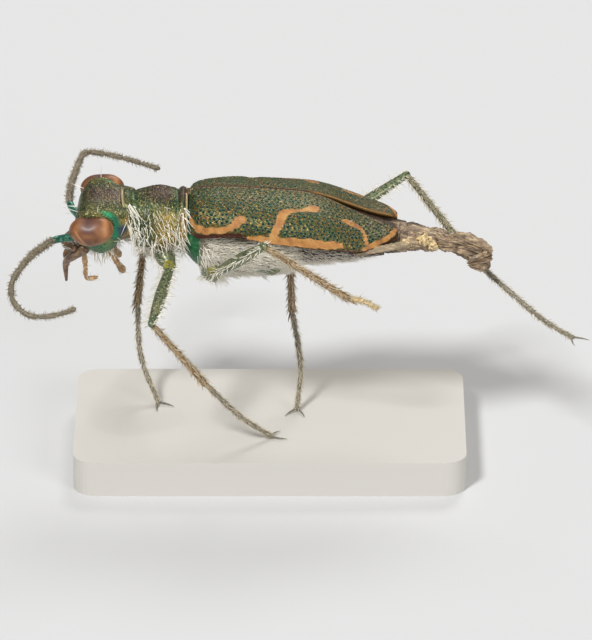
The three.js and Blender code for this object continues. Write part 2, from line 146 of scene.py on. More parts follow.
def joined_shells(name, grids):
    """One mesh of several closed skins."""
    points, faces, count = [], [], 0
    for grid in grids:
        spots, sides = skin_of(grid)
        points.append(spots)
        faces += [[count + corner for corner in side] for side in sides]
        count += len(spots)
    mesh = bpy.data.meshes.new(name)
    mesh.from_pydata(place(np.vstack(points)), [], faces)
    return mesh


def shell(name, grid, material, node=None, slot=None, marks=None):
    """A closed skin with one value of each mark at every point, riding on the body."""
    mesh = joined_shells(name, [grid])
    for mark_name, values in (marks or {}).items():
        layer = mesh.attributes.new(mark_name, "FLOAT", "POINT")
        layer.data.foreach_set("value", np.r_[np.broadcast_to(values, grid.shape[:2]).ravel(), 0, 0])
    return dress(name, mesh, material, node, slot)


def dress(name, mesh, material, node=None, slot=None):
    """Gives a finished mesh its material and its place on the body, and hides the CAD nodes that it stands
    for.
    """
    mesh.shade_smooth()
    piece = bpy.data.objects.new(name, mesh)
    bpy.context.scene.collection.objects.link(piece)
    if material:
        mesh.materials.append(material)
    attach(piece, "root")
    if node:
        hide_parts(*([node] if isinstance(node, str) else node))
    print(f"{name}: {sum(len(p.vertices) - 2 for p in mesh.polygons)} triangles")
    return piece


# %% [markdown]
# Legs, feelers and jaws are bent tubes. The path runs smoothly through a few bends, and the ring of each step
# is turned as little as possible from the one before, so that rows of bristles keep to their side of a leg.
# %% Tubes along a path
DOME_RINGS = 5


def between(a, b, at_a, at_b, t):
    """The point at t on the line that is at a for at_a and at b for at_b."""
    return (a * (at_b - t) + b * (t - at_a)) / (at_b - at_a)


def route(bends, count):
    """Points evenly along a smooth curve through the bends, spaced by the square root of their distance."""
    p = np.array(bends, float)
    p = np.vstack([2 * p[0] - p[1], p, 2 * p[-1] - p[-2]])
    knots = np.r_[0, np.cumsum(np.sqrt(np.linalg.norm(np.diff(p, axis=0), axis=1)))]
    fine = []
    for i in range(1, len(p) - 2):
        (p0, p1, p2, p3), (t0, t1, t2, t3) = p[i - 1:i + 3], knots[i - 1:i + 3]
        t = np.linspace(t1, t2, 24, endpoint=i == len(p) - 3)[:, None]
        a1, a2, a3 = between(p0, p1, t0, t1, t), between(p1, p2, t1, t2, t), between(p2, p3, t2, t3, t)
        fine.append(between(between(a1, a2, t0, t2, t), between(a2, a3, t1, t3, t), t1, t2, t))
    fine = np.vstack(fine)
    far = np.r_[0, np.cumsum(np.linalg.norm(np.diff(fine, axis=0), axis=1))]
    return np.stack([np.interp(np.linspace(0, far[-1], count), far, fine[:, k]) for k in range(3)], -1)


def tube(bends, radius, steps=40, sides=16, flat=None):
    """A grid of rings round a path, with domed ends.

    radius, and flat, the height of a ring over its width, are functions of the share of the way.
    """
    spine = route(bends, steps + 1)
    along = unit(np.gradient(spine, axis=0))
    side = np.zeros_like(along)
    start = np.array([0, 0, 1.0]) if abs(along[0, 2]) < 0.9 else np.array([1.0, 0, 0])
    side[0] = unit(np.cross(start, along[0]))
    for i in range(1, len(spine)):
        side[i] = unit(side[i - 1] - along[i] * (side[i - 1] @ along[i]))
    up = np.cross(along, side)
    r = np.broadcast_to(radius(np.linspace(0, 1, steps + 1)), steps + 1).astype(float)
    low = np.ones(steps + 1) if flat is None else flat(np.linspace(0, 1, steps + 1))
    dome = np.sin(np.linspace(0.15, 1.35, DOME_RINGS))
    rows = [(0, -r[0] * math.sqrt(1 - d * d), r[0] * d) for d in dome]
    rows += [(i, 0, r[i]) for i in range(steps + 1)]
    rows += [(steps, r[-1] * math.sqrt(1 - d * d), r[-1] * d) for d in dome[::-1]]
    angle = np.linspace(0, 2 * np.pi, sides, endpoint=False)[:, None]
    return np.array([
        spine[i] + along[i] * push + size * (np.cos(angle) * side[i] + low[i] * np.sin(angle) * up[i])
        for i, push, size in rows])


# %% [markdown]
# A beetle's shell is chitin, a hard and slightly clear horn with an index near 1.55. Its green and copper are
# no pigment but thin layers that reflect like a metal, so those finishes are partly metallic. Every colour is
# given as the hex value that a screen shows and turned to the linear values that the renderer works in. Small
# functions add the nodes that come again and again. One of them, over, lays plain colours on where the mesh's
# marks say.
# %% Node and colour helpers


def rgb(code):
    """A screen colour such as #4f6b3c as linear red, green, blue and alpha."""
    screen = [int(code[i:i + 2], 16) / 255 for i in (1, 3, 5)]
    return (*[c / 12.92 if c <= 0.04045 else ((c + 0.055) / 1.055) ** 2.4 for c in screen], 1.0)


def add(tree, kind, inputs=None, **settings):
    """Adds one node, sets it up, and sets or links its inputs."""
    node = tree.nodes.new(kind)
    for key, value in settings.items():
        setattr(node, key, value)
    for key, value in (inputs or {}).items():
        if isinstance(value, bpy.types.NodeSocket):
            tree.links.new(value, node.inputs[key])
        else:
            node.inputs[key].default_value = value
    return node


def output(tree, name, kind, inputs=None, **settings):
    """Adds one node and gives the output of that name."""
    return add(tree, kind, inputs, **settings).outputs[name]


def ramp(tree, share, *stops):
    """A colour that runs through stops of place and colour as share goes from 0 to 1."""
    node = add(tree, "ShaderNodeValToRGB", {"Fac": share})
    elements = node.color_ramp.elements
    while len(elements) < len(stops):
        elements.new(0.5)
    for element, (at, code) in zip(elements, stops):
        element.position, element.color = at, rgb(code)
    return node.outputs["Color"]


def remap(tree, value, low, high, start=0.0, end=1.0):
    """A value carried from the range low to high over to the range start to end."""
    return output(tree, "Result", "ShaderNodeMapRange", {
        "Value": value, "From Min": low, "From Max": high, "To Min": start, "To Max": end})


def noise(tree, spot, count, detail, **more):
    """Cloudy noise with so many lumps in a millimetre."""
    return output(tree, "Fac", "ShaderNodeTexNoise", {
        "Vector": spot, "Scale": count / MM, "Detail": detail, **more})


def relief(tree, height, strength, depth):
    """A normal that a height pushes about, with its depth in millimetres."""
    return output(tree, "Normal", "ShaderNodeBump", {
        "Height": height, "Strength": strength, "Distance": depth * MM})


def blend(tree, share, low, high):
    """A colour that goes from low to high as share goes from 0 to 1."""
    return output(tree, 2, "ShaderNodeMix", {0: share, 6: low, 7: high}, data_type="RGBA")


def mark(tree, name):
    """The value of one of the mesh's own marks."""
    return output(tree, "Fac", "ShaderNodeAttribute", attribute_name=name)


def over(tree, colour, **layers):
    """A colour with others laid over it in turn, each where the mark of its name says."""
    for name, code in layers.items():
        colour = blend(tree, mark(tree, name), colour, rgb(code))
    return colour


def finish(name, paint, **constants):
    """A material: paint returns the linked inputs of the shader, and the constants are set on its sockets."""
    made = bpy.data.materials.new(name)
    made.use_nodes = True
    tree = made.node_tree
    tree.nodes.clear()
    spot = output(tree, "Object", "ShaderNodeTexCoord")
    fixed = {key.replace("_", " ").title().replace("Ior", "IOR"): value for key, value in constants.items()}
    shader = output(tree, "BSDF", "ShaderNodeBsdfPrincipled", {**fixed, **paint(tree, spot)})
    add(tree, "ShaderNodeOutputMaterial", {"Surface": shader})
    return made


# %% [markdown]
# The wing cases are a mosaic of grains a fortieth of a millimetre wide, green, gold, copper and blue, which
# mix to olive from a step away. A Voronoi pattern gives each grain its own colour. The mesh's marks say where
# the rest lies: pits and the ring round each, edges, the pale rim and copper flush along the seam, the pin's
# hole, and the orange bands, which are plain pigment with no metal in it.
# %% Finish of the wing cases
GRAIN = 40  # grains in a millimetre


def mosaic(tree, spot):
    """Each grain's own share, from 0 to 1, and the distance to the grain's middle."""
    grains = add(tree, "ShaderNodeTexVoronoi", {"Vector": spot, "Scale": GRAIN / MM})
    share = output(tree, "Red", "ShaderNodeSeparateColor", {"Color": grains.outputs["Color"]})
    return share, grains.outputs["Distance"]


def paint_case(tree, spot):
    share, distance = mosaic(tree, spot)
    metal = ramp(tree, share, (0.0, "#14200d"), (0.2, "#2a441f"), (0.4, "#4b5622"), (0.58, "#76692c"),
                 (0.74, "#553b1e"), (0.88, "#763b1e"), (1.0, "#ac9649"))
    patches = remap(tree, noise(tree, spot, 1.1, 3.0), 0.42, 0.64, 0.0, 0.2)
    metal = blend(tree, patches, over(tree, metal, copper="#70462a"), rgb("#27573f"))
    metal = over(tree, metal, near_pit="#175a44", pit="#071430", edge="#43200f", rim="#b8914e",
                 hole="#4d5749")
    horn = ramp(tree, noise(tree, spot, 5, 4.0), (0.3, "#93602f"), (0.5, "#b27c40"), (0.75, "#c09557"))
    band = mark(tree, "band")
    return {"Base Color": blend(tree, band, metal, horn), "Metallic": remap(tree, band, 0, 1, 0.5, 0),
            "Roughness": remap(tree, band, 0, 1, 0.44, 0.6), "Normal": relief(tree, distance, 0.5, 0.006)}


CASE = finish("pitted_chitin", paint_case, coat_weight=0.05, coat_roughness=0.2)

# %% [markdown]
# Head and fore body share one finish: copper and purple grains in the middle, green and then gold at the
# sides, with a painted highlight of gold low on the head's cheek, a clean teal, painted shade of dark blue
# where the shell turns under, as behind the eyes, and pale rims.
# Five marks of the mesh say where.
# %% Finish of the head and fore body
BODY_MARKS = dict.fromkeys(("green", "teal", "deep", "pale", "gold_and_highlight"), 0)


def paint_body(tree, spot):
    share, distance = mosaic(tree, spot)
    copper = ramp(tree, share, (0.0, "#2a2022"), (0.35, "#493834"), (0.6, "#504b38"), (0.85, "#664e3e"),
                  (1.0, "#8a7c58"))
    green = ramp(tree, share, (0.0, "#1b2c20"), (0.35, "#33482f"), (0.65, "#555d37"), (0.9, "#746c3f"),
                 (1.0, "#a0945c"))
    golden = ramp(tree, share, (0.0, "#4c4a22"), (0.3, "#7c7a34"), (0.6, "#a8924c"), (0.85, "#b98a4e"),
                  (1.0, "#d8c98a"))
    # The gold mark also holds a painted highlight, low on the head's cheek.
    base = blend(tree, mark(tree, "gold_and_highlight"), blend(tree, mark(tree, "green"), copper, green), golden)
    drift = remap(tree, noise(tree, spot, 2.5, 3.0), 0.35, 0.65)
    # Painted shade: the teal is darkened to dark blue where the shell turns under.
    teal = over(tree, blend(tree, drift, rgb("#0c6c60"), rgb("#25ac76")), deep="#0a2c5c")
    grainy = remap(tree, share, 0, 1, 0.55, 1)
    broken = output(tree, "Value", "ShaderNodeMath", {0: mark(tree, "teal"), 1: grainy}, operation="MULTIPLY")
    return {"Base Color": over(tree, blend(tree, broken, base, teal), pale="#c2aa7c"),
            "Metallic": remap(tree, mark(tree, "pale"), 0, 1, 0.6, 0),
            "Normal": relief(tree, distance, 0.6, 0.006)}


BODY = finish("metallic_chitin", paint_body, roughness=0.4, coat_weight=0.06, coat_roughness=0.25)

# %% [markdown]
# The dried eyes are smooth copper-brown domes, with painted shade under the brow, a painted highlight in a
# streak at the front, and a lighter rear.
# Their facets are far too small to see, a fiftieth of a millimetre, and only take the edge off the gloss.
# %% Finish of the eyes
FACETS = 50  # facets in a millimetre


def paint_eye(tree, spot):
    brown = ramp(tree, noise(tree, spot, 2.6, 5.0, Distortion=0.6), (0.3, "#5c3822"), (0.48, "#80512f"),
                 (0.62, "#98663c"), (0.8, "#b38253"))
    facets = output(tree, "Distance", "ShaderNodeTexVoronoi", {"Vector": spot, "Scale": FACETS / MM})
    # Painted shade under the brow, then a painted highlight in a streak and the lighter rear of the eye.
    return {"Base Color": over(tree, brown, brow="#4a2a2a", light="#c58a5a"),
            "Normal": relief(tree, facets, 0.25, 0.004)}


EYE_HORN = finish("eye_facets", paint_eye, roughness=0.5, coat_weight=0.12, coat_roughness=0.25)

# %% [markdown]
# Most other finishes are one colour family each, broken by a fine noise: thighs of green bronze, shins from
# copper brown to olive, yellow-green rings at the hips, blue-green scapes, dusty feelers and feet, pale
# crusts of dust, brown and amber mouth parts, and three kinds of hair.
# %% Finishes of the limbs, mouth parts and hair


def speckled(size, depth, *stops):
    """Paint of a few colours in grains so many millimetres wide, with a relief so deep."""
    def paint(tree, spot):
        grain = noise(tree, spot, 1 / size, 6.0, Roughness=0.6)
        return {"Base Color": ramp(tree, grain, *stops), "Normal": relief(tree, grain, 0.6, depth)}
    return paint


THIGH = finish("green_bronze_chitin", speckled(
    0.05, 0.006, (0.32, "#27382a"), (0.45, "#4e624a"), (0.55, "#888b68"), (0.68, "#8f7f57"),
    (0.8, "#446a56")), metallic=0.45, roughness=0.34)
SHIN = finish("copper_brown_chitin", speckled(
    0.06, 0.006, (0.3, "#54402c"), (0.48, "#8a6c4a"), (0.6, "#b3966c"), (0.75, "#6d6a4a")),
    metallic=0.2, roughness=0.42)
OLIVE_SHIN = finish("olive_chitin", speckled(
    0.06, 0.006, (0.3, "#4a4a38"), (0.48, "#6e6c54"), (0.6, "#928c6e"), (0.75, "#5c6652")),
    metallic=0.3, roughness=0.4)
DARK_SHIN = finish("olive_brown_chitin", speckled(
    0.06, 0.006, (0.3, "#514030"), (0.48, "#80694f"), (0.6, "#a58c68"), (0.75, "#706c54")),
    metallic=0.25, roughness=0.4)
FOOT = finish("dusty_brown_chitin", speckled(
    0.05, 0.006, (0.3, "#4b4841"), (0.5, "#736e62"), (0.7, "#9c9482"), (0.85, "#5f686c")), roughness=0.55)
DUST = finish("pale_dust_crust", speckled(
    0.03, 0.01, (0.3, "#94794f"), (0.45, "#cbae7a"), (0.6, "#e8d5a6"), (0.75, "#f5e9c8")), roughness=0.8)
FEELER = finish("feeler_chitin", speckled(
    0.04, 0.005, (0.3, "#4a4438"), (0.5, "#6e6553"), (0.7, "#948a70"), (0.85, "#646650")), roughness=0.55)
TROCHANTER = finish("yellow_green_horn", speckled(
    0.1, 0.004, (0.3, "#4e4c18"), (0.5, "#7d7a2a"), (0.7, "#a8a04a")), roughness=0.32, coat_weight=0.2)
SCAPE = finish("blue_green_chitin", speckled(
    0.05, 0.005, (0.3, "#0f3a33"), (0.5, "#1f6656"), (0.65, "#6a9c80"), (0.8, "#2a586a")),
    metallic=0.5, roughness=0.32)
JAW = finish("clear_brown_horn", speckled(
    0.09, 0.006, (0.3, "#3a2b20"), (0.5, "#694f39"), (0.7, "#9a805e")),
    roughness=0.32, ior=1.55, subsurface_weight=0.15, subsurface_scale=0.1 * MM)
PALP = finish("amber_horn", speckled(
    0.08, 0.005, (0.3, "#765636"), (0.5, "#a58154"), (0.7, "#cfae7e")),
    roughness=0.34, ior=1.55, subsurface_weight=0.2, subsurface_scale=0.1 * MM)
HAIR = finish("white_seta", speckled(0.1, 0.001, (0.3, "#e8e0cb"), (0.6, "#fcf8ee")), roughness=0.4)
BRISTLE = finish("straw_seta", speckled(0.1, 0.001, (0.3, "#a8987a"), (0.6, "#d8ccb0")), roughness=0.45)
DOWN = finish("grey_brown_seta", speckled(0.1, 0.001, (0.3, "#7d7261"), (0.6, "#a99d86")), roughness=0.5)

# %% [markdown]
# The chest is dull under its hair and shines green where it is bare. The shrunken belly is a dull skin whose
# noise is drawn out along the body, tough and dark where a mark says so, and pale in its folds.
# %% Finishes of the chest and belly


def paint_chest(tree, spot):
    grain = noise(tree, spot, 12, 6.0)
    dull = ramp(tree, grain, (0.3, "#565246"), (0.5, "#837d6c"), (0.62, "#a0977f"), (0.8, "#b3a990"))
    green = ramp(tree, grain, (0.3, "#0d3b22"), (0.55, "#15633a"), (0.75, "#3f8a4a"))
    return {"Base Color": blend(tree, mark(tree, "bare"), dull, green),
            "Normal": relief(tree, grain, 0.5, 0.008)}


def paint_belly(tree, spot):
    drawn_out = output(tree, "Vector", "ShaderNodeVectorMath", {0: spot, 1: (0.3, 1.2, 1.2)},
                       operation="MULTIPLY")
    grain = noise(tree, drawn_out, 10, 6.0, Roughness=0.65)
    skin = ramp(tree, grain, (0.36, "#35261f"), (0.45, "#5f493e"), (0.5, "#7e6654"), (0.56, "#a0876c"),
                (0.66, "#d3bf9c"))
    tough = ramp(tree, grain, (0.3, "#1d1410"), (0.5, "#3a2a20"), (0.7, "#5c4838"))
    return {"Base Color": blend(tree, mark(tree, "dark"), over(tree, skin, pale="#cdbb96"), tough),
            "Normal": relief(tree, grain, 0.8, 0.04)}


CHEST = finish("chest_chitin", paint_chest, metallic=0.25, roughness=0.42)
BELLY = finish("dried_belly_skin", paint_belly, roughness=0.5)

# %% [markdown]
# A wing case is a thin shell. In cross-section its top runs flat from the seam and then falls steeply to the
# margin, which a superellipse gives in one formula. The keys along X are the same driving sizes that the
# solids use. Each case is one grid of rings: an outer face fine enough to hold real pits, and a coarser inner
# face.
# %% Shape of the wing cases
SEAM_Z = smooth([[-2.35, -0.2], [-2.2, -0.05], [-1.56, 0], [-0.73, -0.04], [0.29, -0.13], [0.73, -0.25],
                 [1.1, -0.41], [1.5, -0.58], [1.82, -0.69], [2.11, -0.77], [2.26, -0.86]])
SEAM_Y = {
    -1: smooth([[-2.35, 0], [0.1, 0], [0.29, -0.03], [0.73, -0.09], [1.1, -0.15], [1.5, -0.21], [1.82, -0.3],
                [2.11, -0.4], [2.26, -0.48]]),
    1: smooth([[-2.35, 0], [0.1, 0], [0.29, 0.01], [0.73, 0.05], [1.34, 0.118], [1.91, 0.16], [2.11, 0.19],
               [2.26, 0.3]]),
}
CASE_HALF = smooth([[-2.32, 0.62], [-2.25, 0.76], [-2.09, 0.98], [-1.56, 1.165], [-0.73, 1.29], [0.04, 1.37],
                    [0.7, 1.395], [1.34, 1.34], [1.67, 1.2], [1.98, 0.97], [2.18, 0.72], [2.26, 0.56]])
MARGIN_Z = smooth([[-2.35, -0.78], [-2.18, -0.81], [-1.41, -0.68], [-0.92, -0.72], [-0.44, -0.79],
                   [0.22, -0.85], [0.95, -0.93], [1.5, -0.975], [1.98, -0.9], [2.26, -0.9]])
CASE_FROM, CASE_TO, CASE_THICK, SEAM_GAP = -2.3, 2.24, 0.09, 0.02
CASE_POWER = 2.4  # of the superellipse: 2 would be round, more is boxier
CASE_STEPS, CASE_ACROSS, CASE_INNER = 500, 150, 8


def case_face(side, x, across):
    """The outer face of one case, and the way out of it, at each x and share of the way to the margin."""
    seam_y = SEAM_Y[side](x) + side * SEAM_GAP / 2
    margin_y = side * CASE_HALF(x) - 0.06 * np.maximum(x - 1.3, 0)
    seam_z, margin_z = SEAM_Z(x), MARGIN_Z(x)
    angle = across * np.pi / 2
    p, q = np.sin(angle) ** (2 / CASE_POWER), np.cos(angle) ** (2 / CASE_POWER)
    point = np.stack([x + 0 * p, seam_y + (margin_y - seam_y) * p, margin_z + (seam_z - margin_z) * q], -1)
    way = np.stack([0 * p, side * np.maximum(p, 1e-3) ** (CASE_POWER - 1) / np.abs(margin_y - seam_y),
                    np.maximum(q, 1e-3) ** (CASE_POWER - 1) / (seam_z - margin_z)], -1)
    return point, unit(way)


even = np.linspace(0, 1, CASE_STEPS + 1)
CASE_X = CASE_FROM + (CASE_TO - CASE_FROM) * (0.75 * even + 0.25 * (0.5 - 0.5 * np.cos(np.pi * even)))
print("wing case rings every", round(float(np.diff(CASE_X).max()), 4), "mm at most")

# %% [markdown]
# The orange bands are drawn on the shell itself, as lines of changing width: for each band the places where
# it bends, as millimetres along the body and millimetres in from the margin, with half the band's width
# there. A point is inside where its distance to the line is less than that. Both cases have the same bands,
# mirrored, as they grow that way.
# %% The orange bands
BANDS = [
    # shoulder, along the margin, and its knob
    [(-2.29, 0.33, 0.05), (-2.2, 0.24, 0.075), (-2.05, 0.19, 0.08), (-1.8, 0.16, 0.072), (-1.55, 0.15, 0.07),
     (-1.4, 0.2, 0.068), (-1.28, 0.31, 0.085), (-1.18, 0.42, 0.1)],
    # margin strip
    [(-1.0, 0.02, 0.05), (-0.7, 0.05, 0.08), (-0.2, 0.09, 0.09), (0.4, 0.11, 0.1), (0.85, 0.12, 0.08),
     (1.0, 0.12, 0.05)],
    # middle band, up from the strip, back, and its knob
    [(-0.5, 0.1, 0.09), (-0.42, 0.3, 0.08), (-0.33, 0.5, 0.085), (-0.27, 0.72, 0.1), (-0.15, 0.82, 0.075),
     (0.02, 0.88, 0.04), (0.18, 0.91, 0.05), (0.3, 0.98, 0.09), (0.42, 1.03, 0.11)],
    # tail band: a blob inland, a thin hook, and a strip round the tip
    [(1.05, 0.8, 0.05), (1.2, 0.77, 0.085), (1.34, 0.69, 0.06), (1.46, 0.55, 0.035), (1.52, 0.38, 0.03),
     (1.55, 0.15, 0.045)],
    [(1.5, 0.06, 0.04), (1.75, 0.09, 0.06), (1.95, 0.09, 0.07), (2.1, 0.14, 0.08), (2.2, 0.3, 0.07)],
]


def band_cover(x, inland):
    """1 inside a band and 0 outside, with an edge about a fiftieth of a millimetre soft."""
    cover = np.zeros_like(inland)
    wobble = 0.012 * np.sin(23 * x + 5 * np.sin(17 * inland)) + 0.008 * np.sin(61 * inland + 13 * x)
    for line in BANDS:
        for (x0, m0, w0), (x1, m1, w1) in zip(line[:-1], line[1:]):
            dx, dm = x1 - x0, m1 - m0
            t = np.clip(((x - x0) * dx + (inland - m0) * dm) / (dx * dx + dm * dm), 0, 1)
            away = np.hypot(x - x0 - t * dx, inland - m0 - t * dm) + wobble
            cover = np.maximum(cover, 1 - ease(-0.012, 0.012, away - (w0 + t * (w1 - w0))))
    return cover


# %% [markdown]
# The pits stand about an eighth of a millimetre apart, in rough rows. A hexagonal grid with every point
# pushed a little aside by a seeded draw gives that spacing without looking like a grid. For each point of the
# shell only the nine nearest cells can hold its nearest pit.
# %% The pits
PIT_STEP, PIT_RADIUS, PIT_DEPTH = 0.108, 0.032, 0.018
ROW_STEP = 0.866 * PIT_STEP  # as in a hexagonal grid
DRAWN_CELLS = 96  # the draw repeats after so many cells
PIN_AT, PIN_RADIUS = (-0.93, 0.8), 0.215


def pit_distance(x, inland, seed):
    """Distance from each point to the middle of its nearest pit, and that pit's own share of full size."""
    draw = np.random.default_rng(seed).random((3, DRAWN_CELLS, DRAWN_CELLS))
    row = np.floor(inland / ROW_STEP).astype(int)
    nearest, size = np.full(x.shape, 9.0), np.ones(x.shape)
    for row_beside in (-1, 0, 1):
        r = row + row_beside
        stagger = 0.5 * (r % 2)
        column = np.floor((x + 3) / PIT_STEP - stagger).astype(int)
        for column_beside in (-1, 0, 1):
            c = column + column_beside
            push_x, push_y, own = draw[:, r % DRAWN_CELLS, c % DRAWN_CELLS]
            pit_x = (c + 0.5 + stagger + 0.55 * (push_x - 0.5)) * PIT_STEP - 3
            pit_inland = (r + 0.5 + 0.5 * (push_y - 0.5)) * ROW_STEP
            away = np.hypot(x - pit_x, inland - pit_inland)
            closer = away < nearest
            nearest, size = np.where(closer, away, nearest), np.where(closer, 0.7 + 0.5 * own, size)
    return nearest, size


# %% [markdown]
# Each case then gets its surface: pits with a low ring round each, a fine roughness, a raised margin and
# seam, and the brown fold under the shoulder. In the right case the pin has left a round hole. The outer face
# and the plain inner face make one closed skin.
# %% The two cases


def make_case(side, node):
    x, across = np.meshgrid(CASE_X, np.linspace(0, 1, CASE_ACROSS + 1), indexing="ij")
    face, way = case_face(side, x, across)
    step = np.linalg.norm(np.diff(face, axis=1), axis=2)
    from_seam = np.concatenate([np.zeros((len(x), 1)), np.cumsum(step, axis=1)], axis=1)
    inland = from_seam[:, -1:] - from_seam
    band = band_cover(x, inland)
    plain = 1 - band
    fold = (1 - ease(0.075, 0.095, inland)) * ease(-2.25, -2.15, x) * (1 - ease(-1.2, -0.95, x))
    edge = np.max([bump_at(inland, 0, 0.035) * plain, bump_at(from_seam, 0, 0.02), bump_at(x, CASE_TO, 0.03),
                   fold * plain], axis=0)
    away, size = pit_distance(x, inland, 11 + side)
    clear = plain * (1 - 0.9 * edge)
    pit = (1 - ease(0.25, 1.0, away / (PIT_RADIUS * size))) * clear
    ring = (1 - ease(0.7, 1.6, away / (PIT_RADIUS * size))) * clear
    rough = 0.004 * np.sin(57 * x + 3 * np.sin(41 * inland)) * np.sin(63 * inland)
    lift = -PIT_DEPTH * pit * size + 0.006 * (ring - pit) + rough * (1 - pit)
    lift += 0.018 * bump_at(inland, 0, 0.03) + 0.01 * bump_at(from_seam, 0.03, 0.025)
    hole = np.zeros_like(x)
    if side == 1:
        from_pin = np.hypot(face[..., 0] - PIN_AT[0], face[..., 1] - PIN_AT[1])
        hole = 1 - ease(PIN_RADIUS - 0.02, PIN_RADIUS + 0.012, from_pin)
        lift = lift * (1 - hole) - hole * (0.075 - 0.02 * (from_pin / PIN_RADIUS) ** 2)
        pit, ring, edge, band = (value * (1 - hole) for value in (pit, ring, edge, band))
    outer = face + way * lift[..., None]
    CASE_GRIDS[side] = outer
    inner, inner_way = case_face(side, *np.meshgrid(CASE_X, np.linspace(1, 0, CASE_INNER), indexing="ij"))
    inner = inner - inner_way * CASE_THICK
    front = (1 - ease(-2.27, -2.21, x)) * clear
    marks = {
        "band": band, "pit": pit, "near_pit": 0.62 * np.maximum(ring, front), "edge": edge,
        "copper": 0.25 * ease(0.3, 2.2, x) + 0.3 * bump_at(from_seam, 0, 0.12), "hole": hole,
        "rim": 0.5 * bump_at(from_seam, 0, 0.01) * ease(0.2, 0.5, x)}
    inside = {key: np.full((len(x), CASE_INNER), 0.6 if key == "edge" else 0.0) for key in marks}
    marks = {key: np.hstack([value, inside[key]]) for key, value in marks.items()}
    shell(node + "_case", np.concatenate([outer, inner], axis=1), CASE, node, "wing_case", marks)


CASE_GRIDS = {}
make_case(-1, "elytron_left")
make_case(1, "elytron_right")

# %% [markdown]
# Head, fore body and chest are barrels: rings that follow keyed middles, widths, heights and rolls. The same
# stations as in the solids place them, and then each gets its own grooves, ridges and wrinkles by pushing
# every point along its normal.
# %% Barrels
BARREL_POWER, BOXY_POWER = 2.2, 5  # of the superellipse that each ring is


def barrel(stations, steps, sides, ends=0.06):
    """A grid of rings through stations of x, y, z, half width, half height, roll, lean and crown.

    A crown is a height of the upper half of its own, which is boxier then. Lean tips a ring forward at its
    top. The skin rounds off over so many millimetres at the ends. Also gives each point's x and angle.
    """
    table = np.array([[*s, 0, 0, 0][:8] for s in stations], float)
    x = np.linspace(table[0, 0], table[-1, 0], steps + 1)[:, None]
    y, z, b, c, roll, lean, crown = (smooth(table[:, [0, k]])(x) for k in range(1, 8))
    from_end = np.clip(np.minimum(x - x[0], x[-1] - x) / ends, 0, 1)
    shrink = 0.5 * ends * (1 - np.sqrt(np.clip(1 - (1 - from_end) ** 2, 0.02, 1)))
    angle = np.linspace(0, 2 * np.pi, sides, endpoint=False)[None]
    upper = (crown.max() > 0) & (np.sin(angle) > 0)
    power = 2 / np.where(upper, BOXY_POWER, BARREL_POWER)
    p = (b - shrink) * np.sign(np.cos(angle)) * np.abs(np.cos(angle)) ** power
    q = (np.where(upper, crown, c) - shrink) * np.sign(np.sin(angle)) * np.abs(np.sin(angle)) ** power
    x, angle = np.broadcast_arrays(x, angle)
    grid = np.stack([x - lean * q, y + p * np.cos(roll) - q * np.sin(roll),
                     z + p * np.sin(roll) + q * np.cos(roll)], -1)
    return grid, x, angle


def from_above(angle):
    """How far round a ring each point is from its top, from 0 to pi."""
    return np.abs((angle - np.pi / 2 + np.pi) % (2 * np.pi) - np.pi)


def ring_from_top(grid):
    return from_above(np.linspace(0, 2 * np.pi, grid.shape[1], endpoint=False))


def crumple(points, width, seed):
    """Smooth lumps about so many millimetres wide: a sum of waves in seeded directions."""
    draw = np.random.default_rng(seed)
    total = np.zeros(points.shape[:-1])
    for _ in range(9):
        wave = unit(draw.normal(size=3)) * draw.uniform(0.7, 1.5) * 2 * np.pi / width
        total += np.sin(points @ wave + draw.uniform(0, 2 * np.pi))
    return total / 3


# %% [markdown]
# The head is rolled to one side, as it dried. It is laid out in a frame of its own, with its middle at 0, and
# then turned and moved into its place.
# %% The head's place
HEAD_AT, HEAD_ROLL, HEAD_PITCH, HEAD_YAW = (-4.35, 0.024, -0.55), 0.27, -0.1, -0.14


def turn(axis, angle):
    """The matrix that turns by an angle about axis 0, 1 or 2."""
    c, s = math.cos(angle), math.sin(angle)
    i, j = [(1, 2), (2, 0), (0, 1)][axis]
    matrix = np.eye(3)
    matrix[i, i], matrix[i, j], matrix[j, i], matrix[j, j] = c, -s, s, c
    return matrix


HEAD_TURN = turn(2, HEAD_YAW) @ turn(1, HEAD_PITCH) @ turn(0, HEAD_ROLL)


def in_head(points):
    """Points of the head's own frame as points of the beetle's."""
    return np.asarray(points, float) @ HEAD_TURN.T + HEAD_AT


# %% [markdown]
# The crown is a broad plate, a little hollow, that ends in a raised brow over each eye, with fine ridges
# beside it. A groove runs round each eye's socket. The temples behind the eyes draw in to the neck.
# %% Head
HEAD_STATIONS = [
    (-0.56, 0, -0.55, 0.3, 0.3, 0, 0, 0.2), (-0.5, 0, -0.4, 0.44, 0.45, 0, 0, 0.36),
    (-0.4, 0, -0.25, 0.54, 0.62, 0, 0, 0.42), (-0.2, 0, -0.13, 0.64, 0.85, 0, 0, 0.49),
    (0, 0, -0.1, 0.68, 0.98, 0, 0, 0.5), (0.2, 0, -0.1, 0.66, 0.92, 0, 0, 0.49),
    (0.36, 0, -0.1, 0.6, 0.78, 0, 0, 0.46), (0.5, 0, -0.1, 0.55, 0.64, 0, 0, 0.43),
    (0.85, 0, -0.13, 0.5, 0.54, 0, 0, 0.37)]
FACE_FROM, FACE_DEPTH = -0.2, 0.76  # the face in front of this x is flattened to this share of its depth
grid, x, _ = barrel(HEAD_STATIONS, 220, 400)
across, height = grid[..., 1], grid[..., 2]
aside, below = np.abs(across), -height
on_top = ease(0.0, 0.2, height)
brow = bump_at(aside, 0.6, 0.05) * ease(-0.45, -0.2, x) * (1 - ease(0.3, 0.45, x))
rounder = bump_at(aside, 0.58, 0.1) * bump_at(x, 0.04, 0.3)
lower_front = bump_at(aside, 0.58, 0.16) * bump_at(x, -0.3, 0.14)
